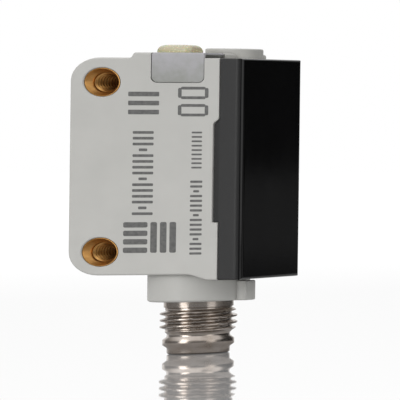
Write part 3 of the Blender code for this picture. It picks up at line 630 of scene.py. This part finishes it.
def make_housing():
    """The grey shell: body, collar, lug and boss joined, then the cavity and the bores cut."""
    builder = prism(housing_outline(), "X", -SIDE, SIDE, EDGE_RADIUS)
    housing = new_piece("housing_shell", builder, replaces=["housing"])
    ticks = []
    for number in range(9):
        turn = math.radians(-135 + 270 * number / 8 + 90)
        size = 0.55 * MM if number in (0, 4, 8) else 0.38 * MM
        middle = WELL_RADIUS + 0.42 * MM
        place = upright(KNOB) @ Matrix.Rotation(turn, 4, "Z")
        low, high = (middle - size / 2, -0.06 * MM), (middle + size / 2, 0.06 * MM)
        outline = rectangle(low, high, 0.05 * MM)
        tick = prism(outline, "Z", BOSS_TOP - 0.06 * MM, BOSS_TOP + WALL, fillet=3)
        tick.transform(place)
        ticks.append(tick)
    lug = [
        (-LUG_WIDTH / 2, CONNECTOR.y - LUG_REACH, 0.25 * MM),
        (LUG_WIDTH / 2, CONNECTOR.y - LUG_REACH, 0.25 * MM),
        (LUG_WIDTH / 2, CONNECTOR.y - COLLAR_RADIUS + 0.8 * MM, 0),
        (-LUG_WIDTH / 2, CONNECTOR.y - COLLAR_RADIUS + 0.8 * MM, 0),
    ]
    combine(housing, "UNION", [
        turned(collar_profile(), 96, upright(CONNECTOR)),
        prism(lug, "Z", COLLAR_BOTTOM, LUG_TOP, 0.2 * MM),
        turned(boss_profile(), 72, upright(KNOB)),
    ])
    inner_side = SIDE - WALL
    cavity_top = EAR_TOP - TOP_WALL
    cavity_bottom = EAR_BOTTOM + WALL
    cavity_rear = LOW["mounting_insert_upper"].y - 1.2 * MM
    mouth = inner_side - 0.6 * MM
    bay_low = HIGH["mounting_insert_lower"].z + 1.2 * MM
    bay_high = LOW["mounting_insert_upper"].z - 1.2 * MM
    far = 2 * SIDE
    axis = upright(CONNECTOR)
    flare = 0.18 * MM
    well = [
        (0, KNOB_FLOOR),
        (WELL_RADIUS, KNOB_FLOOR),
        (WELL_RADIUS, BOSS_TOP - flare),
        (WELL_RADIUS + flare + WALL, BOSS_TOP + WALL),
        (0, BOSS_TOP + WALL),
    ]
    seat = [
        (0, SEAT_Z),
        (FLANGE_RADIUS + 0.1 * MM, SEAT_Z),
        (FLANGE_RADIUS + 0.1 * MM, cavity_bottom + WALL / 2),
        (0, cavity_bottom + WALL / 2),
    ]
    reach = NECK_RADIUS + 0.1 * MM
    neck = [
        (0, 0),
        (reach + flare + COLLAR_BOTTOM, 0),
        (reach + flare, COLLAR_BOTTOM),
        (reach, COLLAR_BOTTOM + flare),
        (reach, SEAT_Z + WALL),
        (0, SEAT_Z + WALL),
    ]
    shaft = [
        (0, cavity_top - WALL),
        (1.2 * MM, cavity_top - WALL),
        (1.2 * MM, KNOB_FLOOR + WALL),
        (0, KNOB_FLOOR + WALL),
    ]
    stem_radius = 0.75 * MM
    stem = [
        (0, cavity_top - WALL),
        (stem_radius, cavity_top - WALL),
        (stem_radius, PLATEAU_TOP),
        (0, PLATEAU_TOP),
    ]
    lamp = CENTRE["indicator_led_yellow"]
    stem_place = upright(Vector((lamp.x, lamp.y, 0)))
    slot_outline = [
        (PLATEAU_FRONT - SEAM, WINDOW_BOTTOM - SEAM, 0.8 * MM),
        (WINDOW_REAR + SEAM, WINDOW_BOTTOM - SEAM, 0.8 * MM),
        (WINDOW_REAR + SEAM, PLATEAU_TOP + WALL, 0),
        (PLATEAU_FRONT - SEAM, PLATEAU_TOP + WALL, 0),
    ]
    roof_right = HIGH["indicator_window"].x + SEAM
    roof_low = PLATEAU_TOP - 1.1 * MM - SEAM
    cuts = [
        box(
            (-inner_side, COVER_SEAM + 1.15 * MM, cavity_bottom),
            (inner_side, cavity_rear, cavity_top),
        ),
        box(
            (-mouth, FRONT, cavity_bottom + 0.6 * MM),
            (mouth, COVER_SEAM + 2 * MM, cavity_top - 0.6 * MM),
        ),
        box((-inner_side, cavity_rear - WALL, bay_low), (inner_side, REAR - WALL, bay_high)),
        turned(seat, 72, axis),
        turned(neck, 96, axis),
        turned(well, 72, upright(KNOB)),
        turned(shaft, 32, upright(KNOB)),
        turned(stem, 24, stem_place),
        prism(slot_outline, "X", -far, -inner_side + 0.1 * MM),
        box(
            (-far, PLATEAU_FRONT - SEAM, roof_low),
            (roof_right, WINDOW_REAR + SEAM, PLATEAU_TOP + WALL),
        ),
    ]
    cuts += [
        turned(hole_profile(INSERT_RADIUS + 0.03 * MM, far, 0.12 * MM), 64, crosswise(hole))
        for hole in HOLES
    ]
    combine(housing, "DIFFERENCE", cuts + ticks)
    paint(housing, "housing")
    even_shading(housing)


# ---------------------------------------------------------------- the front cover


def make_front_cover():
    """The black cover. Its two tongues sit a little below the side faces and aren't polished."""
    rear = COVER_SEAM - SEAM / 2
    fine = 0.4
    corners = [(FRONT, NOSE_BOTTOM, 0.5 * MM, 1), (rear, NOSE_BOTTOM, 0, fine)]
    corners += seam_corners(rear, -SEAM, 0.6 * MM, 0.1 * MM, fine)
    corners += [(rear, EAR_TOP, 0, 1), (FRONT, EAR_TOP, 0.5 * MM, 1)]
    builder = prism(corners, "X", -SIDE, SIDE, 0.2 * MM)
    cover = new_piece("cover_shell", builder, replaces=["front_cover"])
    far = 2 * EAR_TOP
    edge = 0.8 * MM
    plan = [(-SIDE, FRONT, edge), (SIDE, FRONT, edge), (SIDE, far, 0), (-SIDE, far, 0)]
    combine(cover, "INTERSECT", [prism(plan, "Z", -far, far, fillet=12)])
    inside = SIDE - COVER_WALL
    pocket = box(
        (-inside, FRONT + 1.0 * MM, NOSE_BOTTOM + COVER_WALL),
        (inside, far, EAR_TOP - COVER_WALL),
    )
    step = 0.22 * MM
    relief = []
    for way in (-1, 1):
        low = sorted((way * (SIDE - step), way * far))
        relief.append(box((low[0], COVER_SEAM - 0.02 * MM, 0), (low[1], far, EAR_TOP)))
    combine(cover, "DIFFERENCE", [pocket] + relief)
    paint(cover, "gloss", "satin", "matt")
    for face in cover.data.polygons:
        if abs(face.center.x) > inside:
            if face.center.y > COVER_SEAM - 0.03 * MM:
                face.material_index = 2
            elif abs(face.normal.x) > 0.8:
                face.material_index = 1
    even_shading(cover)


# ---------------------------------------------------------------- inserts and connector


def thread_reach(root, depth, pitch, start, end, sharp, turn, height):
    """The radius of a thread's flank: one ridge that climbs a pitch in each turn."""
    climb = (height - start) / pitch - turn / (2 * math.pi)
    wave = 0.5 - sharp * 0.5 * math.cos(2 * math.pi * climb)
    ridge = min(1.0, max(0.0, wave))
    fade = min(1.0, max(0.0, min(height - start, end - height)) / (pitch * 0.6))
    return root + depth * ridge * fade


def make_inserts():
    """Brass bushes right through the width, with flared mouths and an M3 thread inside."""
    half = HIGH["mounting_insert_upper"].x
    bore = 1.5 * MM
    mouth = INSERT_RADIUS - 0.12 * MM
    lip = 0.75 * MM
    pitch = 0.5 * MM
    depth = -0.27 * MM
    start, end = -half + lip, half - lip
    steps = round((end - start) / pitch * 8)

    def flank(turn, height):
        return thread_reach(bore, depth, pitch, start, end, 1.0, turn, height)

    profile = arc((INSERT_RADIUS - 0.06 * MM, -half + 0.06 * MM), 0.06 * MM, 0, -90, 3)
    profile += [(mouth, -half), (bore + 0.12 * MM, start - 0.12 * MM), (bore, start)]
    profile += [(None, start + (end - start) * i / steps) for i in range(1, steps)]
    profile += [(bore, end), (bore + 0.12 * MM, end + 0.12 * MM), (mouth, half)]
    profile += arc((INSERT_RADIUS - 0.06 * MM, half - 0.06 * MM), 0.06 * MM, 90, 0, 3)
    for name, hole in zip(("upper", "lower"), HOLES):
        builder = turned(profile, 64, Matrix.Identity(4), flank)
        insert = new_piece(f"brass_bush_{name}", builder, body=None, smooth=50)
        insert.matrix_world = crosswise(hole)
        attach(insert, BODY)
        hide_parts(f"mounting_insert_{name}")
        paint(insert, "brass")


def make_sleeve():
    """The connector sleeve: end ring, snap groove, thread, neck and the flange in the collar."""
    top = HIGH["connector_sleeve"].z
    waist, ring, root, crest = 3.25 * MM, 3.7 * MM, 3.42 * MM, 4.0 * MM
    ring_low, ring_high = 1.0 * MM, 2.6 * MM
    start, length, pitch = 3.3 * MM, 3.7 * MM, 1.0 * MM
    end = start + length
    soft = 0.3 * MM
    profile = arc((waist - soft, soft), soft, -90, 0, 5)
    profile += [(waist, ring_low - 0.1 * MM)]
    slope = 0.4 * MM
    profile += [(ring - slope, ring_low), (ring, ring_low + slope)]
    profile += [(ring, ring_high - slope), (ring - slope, ring_high)]
    profile += [(waist, ring_high + 0.25 * MM), (waist, start - 0.25 * MM), (root, start)]
    steps = round(length / pitch * 16)

    def flank(turn, height):
        return thread_reach(root, crest - root, pitch, start, end, 1.35, turn, height)

    profile += [(None, start + length * i / steps) for i in range(1, steps)]
    socket, bore, depth = 2.65 * MM, 2.95 * MM, 5.4 * MM
    profile += [(root, end), (NECK_RADIUS, end + 0.12 * MM), (NECK_RADIUS, FLANGE_Z)]
    profile += [(FLANGE_RADIUS, FLANGE_Z), (FLANGE_RADIUS, top), (bore, top)]
    profile += [(bore, depth), (socket, depth)]
    profile += [(socket, 0.25 * MM), (socket + 0.2 * MM, 0)]
    builder = turned(profile, 128, upright(CONNECTOR), flank)
    sleeve = new_piece(
        "threaded_sleeve",
        builder,
        replaces=["connector_sleeve"],
        origin=CONNECTOR,
        smooth=45,
    )
    paint(sleeve, "nickel")


def make_contacts():
    """The insulator with its raised centre and key, and four pins with round tips."""
    low = LOW["connector_insert"].z
    top = HIGH["connector_insert"].z
    radius = 2.63 * MM
    edge = 0.15 * MM
    rim = arc((radius - edge, low + edge), edge, -90, 0, 4)
    profile = [(0, low)] + rim + [(radius, top), (0, top)]
    insert = new_piece(
        "pin_carrier",
        turned(profile, 64, upright(CONNECTOR)),
        replaces=["connector_insert"],
    )
    pins = [CENTRE[f"contact_pin_{number}"] for number in range(1, 5)]
    pin_radius = (HIGH["contact_pin_1"].x - LOW["contact_pin_1"].x) / 2
    collars = []
    for pin in pins:
        cone = [
            (0, low - 0.35 * MM),
            (0.72 * MM, low - 0.35 * MM),
            (0.78 * MM, low + edge),
            (0, low + edge),
        ]
        collars.append(turned(cone, 28, upright(pin)))
    key = box(
        (-0.45 * MM, CONNECTOR.y + 1.9 * MM, low - 1.6 * MM),
        (0.45 * MM, CONNECTOR.y + 2.58 * MM, low + edge),
    )
    combine(insert, "UNION", collars + [key])
    bore = pin_radius + 0.02 * MM
    combine(insert, "DIFFERENCE", [
        turned([(0, 0), (bore, 0), (bore, 2 * top), (0, 2 * top)], 28, upright(pin)) for pin in pins
    ])
    paint(insert, "inner")
    even_shading(insert)
    for number, pin in enumerate(pins, 1):
        name = f"contact_pin_{number}"
        foot, head = LOW[name].z, HIGH[name].z
        profile = [(0, foot)]
        profile += arc((pin_radius * 0.25, foot + pin_radius * 0.75), pin_radius * 0.75, -90, 0, 6)
        profile += [(pin_radius, head), (0, head)]
        place = Vector((pin.x, pin.y, 0))
        piece = new_piece(
            f"gold_pin_{number}",
            turned(profile, 24, upright(pin)),
            replaces=[name],
            origin=place,
        )
        paint(piece, "gold")


# ---------------------------------------------------------------- indicator and adjuster


def make_window():
    """The light guide: a plate in the side wall that turns over the top edge."""
    outline = [
        (PLATEAU_FRONT, WINDOW_BOTTOM, 0.8 * MM),
        (WINDOW_REAR, WINDOW_BOTTOM, 0.8 * MM),
        (WINDOW_REAR, PLATEAU_TOP, 0.3 * MM),
        (PLATEAU_FRONT, PLATEAU_TOP, 0.3 * MM),
    ]
    builder = prism(outline, "X", -SIDE, -SIDE + 1.0 * MM, 0.12 * MM)
    window = new_piece("light_guide", builder, replaces=["indicator_window"])
    low = PLATEAU_TOP - 1.1 * MM
    roof = [
        (-SIDE + 0.3 * MM, low, 0),
        (HIGH["indicator_window"].x, low, 0.15 * MM),
        (HIGH["indicator_window"].x, PLATEAU_TOP, 0.2 * MM),
        (-SIDE + 0.3 * MM, PLATEAU_TOP, 0),
    ]
    combine(window, "UNION", [prism(roof, "Y", PLATEAU_FRONT, WINDOW_REAR, 0.1 * MM)])
    stem = CENTRE["indicator_led_yellow"]
    hole = 0.68 * MM
    combine(window, "DIFFERENCE", [
        turned(
            [(0, 0), (hole, 0), (hole, 2 * PLATEAU_TOP), (0, 2 * PLATEAU_TOP)],
            24,
            upright(stem),
        )
    ])
    paint(window, "frosted")
    even_shading(window)


def make_dome():
    """The indicator's lens with sloping sides, a round top and a light-guiding stem."""
    low, high = LOW["indicator_dome"], HIGH["indicator_dome"]
    foot = PLATEAU_TOP + 0.02 * MM
    rise = high.z - foot
    layers = 12
    rings = []
    builder = bmesh.new()
    for i in range(layers + 1):
        share = i / layers
        pull = 0.95 * MM * (0.08 * share + 0.92 * share**2.2)
        level = foot + rise * math.sin(share * math.pi / 2) ** 0.9
        if share < 0.25:
            pull *= 0.5
        corners = rectangle(
            (low.x + pull, low.y + pull),
            (high.x - pull, high.y - pull),
            0.75 * MM - pull * 0.3,
        )
        rings.append([builder.verts.new((x, y, level)) for x, y in filleted(corners, 8)])
    for lower, upper in zip(rings, rings[1:]):
        for i in range(len(lower)):
            j = (i + 1) % len(lower)
            builder.faces.new((lower[i], lower[j], upper[j], upper[i]))
    builder.faces.new(rings[0][::-1])
    builder.faces.new(rings[-1])
    dome = new_piece(
        "indicator_lens", builder, replaces=["indicator_dome"], smooth=60
    )
    stem = CENTRE["indicator_led_yellow"]
    radius = 0.6 * MM
    combine(dome, "UNION", [
        turned(
            [(0, low.z), (radius, low.z), (radius, foot + rise / 2), (0, foot + rise / 2)],
            24,
            upright(stem),
        )
    ])
    paint(dome, "yellowish")
    even_shading(dome, 50)


def make_knob():
    """The adjuster: a dished head with a cross slot, a pointer and the blade for the trimmer."""
    low, high = LOW["sensitivity_knob"], HIGH["sensitivity_knob"]
    under = HIGH["knob_seal"].z + 0.3 * MM
    shaft_end = HIGH["trimmer_body"].z + 0.3 * MM
    edge = 0.16 * MM
    dish = 0.1 * MM
    profile = [(0, shaft_end), (0.9 * MM, shaft_end), (0.9 * MM, under), (KNOB_RADIUS, under)]
    profile += arc((KNOB_RADIUS - edge, high.z - edge), edge, 0, 90, 5)
    profile += [(KNOB_RADIUS - 0.4 * MM, high.z)]
    profile += [(KNOB_RADIUS - 0.55 * MM, high.z - dish), (0, high.z - dish)]
    knob = new_piece(
        "adjuster_knob", turned(profile, 72, upright(KNOB)), body=ADJUSTER,
        replaces=["sensitivity_knob"], smooth=35,
    )
    blade = box(
        (KNOB.x - 0.25 * MM, KNOB.y - 0.75 * MM, low.z),
        (KNOB.x + 0.25 * MM, KNOB.y + 0.75 * MM, shaft_end + edge),
    )
    outline = [(-0.22 * MM, 1.2 * MM, 0), (0.22 * MM, 1.2 * MM, 0), (0, 1.62 * MM, 0.05 * MM)]
    pointer = prism(outline, "Z", high.z - dish - edge, high.z)
    pointer.transform(upright(KNOB))
    combine(knob, "UNION", [blade, pointer])
    long, narrow, depth = 1.1 * MM, 0.28 * MM, 0.5 * MM
    slots = []
    for half_x, half_y in ((long, narrow), (narrow, long)):
        outline = rectangle((-half_x, -half_y), (half_x, half_y), 0.1 * MM)
        slot = prism(outline, "Z", high.z - depth, high.z + depth)
        slot.transform(upright(KNOB))
        slots.append(slot)
    combine(knob, "DIFFERENCE", slots)
    paint(knob, "knob")
    even_shading(knob)


# ---------------------------------------------------------------- print


def make_print():
    """Plain printed bars and two outlined boxes on the side face, in millimetres. No text."""
    builder = bmesh.new()
    out, back = -SIDE - 0.012 * MM, -SIDE + 0.01 * MM

    def bar(y, z, width, height, radius=0.1):
        corner = min(radius, width / 2.05, height / 2.05) * MM
        low = ((y - width / 2) * MM, (z - height / 2) * MM)
        high = ((y + width / 2) * MM, (z + height / 2) * MM)
        add_prism(builder, rectangle(low, high, corner), "X", out, back, fillet=3)

    for number in range(3):
        bar(1.5, 39.35 - number * 1.35, 3.7, 0.68)
    for z in (39.55, 36.95):
        for side in (-1, 1):
            bar(-4.45, z + side * 0.72, 3.0, 0.42, 0.2)
            bar(-4.45 + side * 1.62, z, 0.42, 1.5, 0.2)
    for number in range(15):
        bar(1.5, 33.6 - number * 0.87, 2.5 if number % 5 != 3 else 1.0, 0.4)
    for number in range(4):
        bar(2.3, 19.75 - number * 1.27, 2.9, 0.8, 0.2)
    for number in range(3):
        bar(0.1 - number * 1.15, 17.85, 0.78, 4.6, 0.2)
    for number in range(9):
        bar(-4.95, 33.6 - number * 0.66, 1.25, 0.26)
    for number in range(16):
        bar(-4.95, 26.2 - number * 0.72, 1.45 if number % 5 != 2 else 0.7, 0.34)
    marks = new_piece("print_bars", builder, smooth=0)
    paint(marks, "ink")


# ---------------------------------------------------------------- inner nodes

INNER = {
    "cover_seal": "rubber", "knob_seal": "rubber", "connector_seal": "rubber",
    "trimmer_body": "blue", "trimmer_rotor": "knob",
    "main_board": "board", "top_board": "board", "connector_board": "board", "board_link": "film",
    "optics_carrier": "inner", "emitter_lens": "clear", "receiver_lens": "clear",
    "emitter_led": "clear", "receiver_diode": "inner", "receiver_shield": "tin",
    "sensor_chip": "inner", "output_transistor": "inner", "capacitor": "ochre",
    "indicator_led_yellow": "clear", "indicator_led_green": "clear",
}

# ---------------------------------------------------------------- camera, floor and light

AZIMUTH = math.radians(-57.1)
EYE_HEIGHT = 36.0 * MM
AIM_RIGHT = 1.31 * MM
AIM_HEIGHT = 23.28 * MM
DISTANCE = 610 * MM
ROLL = 0.0089
SKEW = -0.018
STRETCH = 1.484
PICTURE_HEIGHT = 61.0 * MM
SENSOR = 36.0
FLOOR_REACH = 1.6
FLOOR_ROUNDING = 0.4
FLOOR_DEPTH = 0.02
FLOOR_GAP = 0.01 * MM
FLOOR_WHITE = 1.05
MIRROR_FULL, MIRROR_NONE = 0.2, 0.5
MIRROR_FROM, MIRROR_TO = 0.3, 0.75
DARK_FROM, DARK_TO = 0.12, 0.3
LIGHTS_AIM = 25 * MM


def make_camera():
    """The picture is stretched sideways by STRETCH. A camera whose X axis leans towards its Z axis
    gives that: a step to the right in the scene then counts STRETCH times in the picture."""
    data = bpy.data.cameras.new("camera")
    data.sensor_width = SENSOR
    data.lens = SENSOR * DISTANCE / PICTURE_HEIGHT
    data.clip_start = 0.01
    data.clip_end = 100.0
    camera = bpy.data.objects.new("camera", data)
    bpy.context.scene.collection.objects.link(camera)
    lift = math.asin((EYE_HEIGHT - AIM_HEIGHT) / DISTANCE)
    right = Vector((math.cos(AZIMUTH), math.sin(AZIMUTH), 0))
    back = Vector(
        (math.sin(AZIMUTH) * math.cos(lift), -math.cos(AZIMUTH) * math.cos(lift), math.sin(lift))
    )
    up = back.cross(right)
    turn = Matrix.Rotation(ROLL, 3, back)
    right, up = turn @ right, turn @ up
    centre = (Vector(cad_bounds[0]) + Vector(cad_bounds[1])) / 2
    aim = Vector((centre.x, centre.y, 0)) + right * AIM_RIGHT
    aim.z = AIM_HEIGHT
    lean = math.acos(1 / STRETCH)
    across = (right * math.cos(lean) + back * math.sin(lean)) * math.cos(SKEW) + up * math.sin(SKEW)
    placed = Matrix.Identity(4)
    for column, vector in enumerate((across, up, back, aim + back * DISTANCE)):
        for row in range(3):
            placed[row][column] = vector[row]
    rig = bpy.data.objects.new("camera_rig", None)
    bpy.context.scene.collection.objects.link(rig)
    camera.parent = rig
    camera.matrix_parent_inverse = placed
    bpy.context.scene.camera = camera


def make_floor():
    """A floor that is white to the camera and mirrors the sensor at glancing angles, close to it
    only. The light that it gives back dims with distance, which keeps the black front dark."""
    builder = bmesh.new()
    low, high = (-FLOOR_REACH, -FLOOR_REACH), (FLOOR_REACH, FLOOR_REACH)
    outline = rectangle(low, high, FLOOR_ROUNDING)
    add_prism(builder, outline, "Z", -FLOOR_DEPTH, -FLOOR_GAP)
    mesh = bpy.data.meshes.new("floor")
    builder.to_mesh(mesh)
    builder.free()
    floor = bpy.data.objects.new("floor", mesh)
    bpy.context.scene.collection.objects.link(floor)
    look = Look("floor_white").set(Roughness=1.0, Specular_IOR_Level=0.0)
    away = look.nodes.new("ShaderNodeVectorMath")
    away.operation = "LENGTH"
    look.links.new(look.where, away.inputs[0])
    tone = look.blend(look.noise(0.2), (0.50, 0.50, 0.50), (0.54, 0.54, 0.54))
    far = look.between(away.outputs["Value"], 0.0, 1.0, DARK_FROM, DARK_TO)
    look.put("Base Color", look.blend(far, tone, (0.16, 0.16, 0.16)))
    white = look.nodes.new("ShaderNodeEmission")
    white.inputs["Strength"].default_value = FLOOR_WHITE
    path = look.nodes.new("ShaderNodeLightPath")
    pale = look.mix(path.outputs["Is Camera Ray"], look.shader.outputs[0], white.outputs[0])
    mirror = look.nodes.new("ShaderNodeBsdfGlossy")
    mirror.inputs["Color"].default_value = (1, 1, 1, 1)
    mirror.inputs["Roughness"].default_value = 0.02
    fresnel = look.nodes.new("ShaderNodeFresnel")
    fresnel.inputs["IOR"].default_value = 1.4
    near = look.between(away.outputs["Value"], 1.0, 0.0, MIRROR_FULL, MIRROR_NONE)
    share = look.nodes.new("ShaderNodeMath")
    share.operation = "MULTIPLY"
    glancing = look.between(fresnel.outputs[0], 0.0, 1.0, MIRROR_FROM, MIRROR_TO)
    look.links.new(glancing, share.inputs[0])
    look.links.new(near, share.inputs[1])
    mixed = look.mix(share.outputs[0], pale, mirror.outputs[0])
    look.links.new(mixed, look.nodes["Material Output"].inputs["Surface"])
    mesh.materials.append(look.material)


def softbox(name, azimuth, distance, width, height, power, elevation=8):
    """A soft light that looks at the sensor from a compass direction."""
    data = bpy.data.lights.new(name, "AREA")
    data.shape = "RECTANGLE"
    data.size = width
    data.size_y = height
    data.energy = power
    lamp = bpy.data.objects.new(name, data)
    bpy.context.scene.collection.objects.link(lamp)
    a, e = math.radians(azimuth), math.radians(elevation)
    away = Vector((math.sin(a) * math.cos(e), -math.cos(a) * math.cos(e), math.sin(e)))
    lamp.location = Vector((0, 0, LIGHTS_AIM)) + away * distance
    lamp.rotation_euler = away.to_track_quat("Z", "Y").to_euler()
    lamp.visible_camera = False


def make_world():
    """White for the camera. For the light: a dim room with a bright ceiling, a white wall behind
    the sensor and a black flag on the side that its front face mirrors."""
    world = bpy.data.worlds.new("studio")
    bpy.context.scene.world = world
    world.use_nodes = True
    nodes, links = world.node_tree.nodes, world.node_tree.links
    where = nodes.new("ShaderNodeTexCoord").outputs["Generated"]

    def lobe(azimuth, elevation, start, end, low, high):
        """A value that goes from low to high near a direction, between two angles from it."""
        a, e = math.radians(azimuth), math.radians(elevation)
        dot = nodes.new("ShaderNodeVectorMath")
        dot.operation = "DOT_PRODUCT"
        way = (math.sin(a) * math.cos(e), -math.cos(a) * math.cos(e), math.sin(e))
        dot.inputs[1].default_value = way
        links.new(where, dot.inputs[0])
        fall = nodes.new("ShaderNodeMapRange")
        fall.interpolation_type = "SMOOTHSTEP"
        fall.inputs["From Min"].default_value = math.cos(math.radians(start))
        fall.inputs["From Max"].default_value = math.cos(math.radians(end))
        fall.inputs["To Min"].default_value = low
        fall.inputs["To Max"].default_value = high
        links.new(dot.outputs["Value"], fall.inputs["Value"])
        return fall.outputs["Result"]

    def math_node(operation, first, second):
        node = nodes.new("ShaderNodeMath")
        node.operation = operation
        links.new(first, node.inputs[0])
        links.new(second, node.inputs[1])
        return node.outputs[0]

    ceiling = lobe(azimuth=0, elevation=90, start=78, end=45, low=0.21, high=1.35)
    wall = lobe(azimuth=123, elevation=0, start=55, end=32, low=0.0, high=1.2)
    flag = lobe(azimuth=57, elevation=0, start=46, end=30, low=1.0, high=0.13)
    bright = math_node("MULTIPLY", math_node("MAXIMUM", ceiling, wall), flag)
    room = nodes.new("ShaderNodeBackground")
    links.new(bright, room.inputs["Strength"])
    path = nodes.new("ShaderNodeLightPath")
    mixed = nodes.new("ShaderNodeMixShader")
    links.new(path.outputs["Is Camera Ray"], mixed.inputs["Fac"])
    links.new(room.outputs[0], mixed.inputs[1])
    seen = nodes["Background"]
    seen.inputs["Color"].default_value = (1, 1, 1, 1)
    links.new(seen.outputs[0], mixed.inputs[2])
    links.new(mixed.outputs[0], nodes["World Output"].inputs["Surface"])


def make_studio():
    make_camera()
    make_floor()
    make_world()
    softbox("side_light", azimuth=-107, distance=0.45, width=0.19, height=0.5, power=1.0)
    softbox("front_light", azimuth=-14, distance=0.5, width=0.24, height=0.4, power=0.3)
    bpy.context.scene.view_settings.view_transform = "Standard"


def main():
    make_studio()
    make_housing()
    make_front_cover()
    make_inserts()
    make_sleeve()
    make_contacts()
    make_window()
    make_dome()
    make_knob()
    make_print()
    for node, look in INNER.items():
        paint(frame["nodes"][node], look)


main()
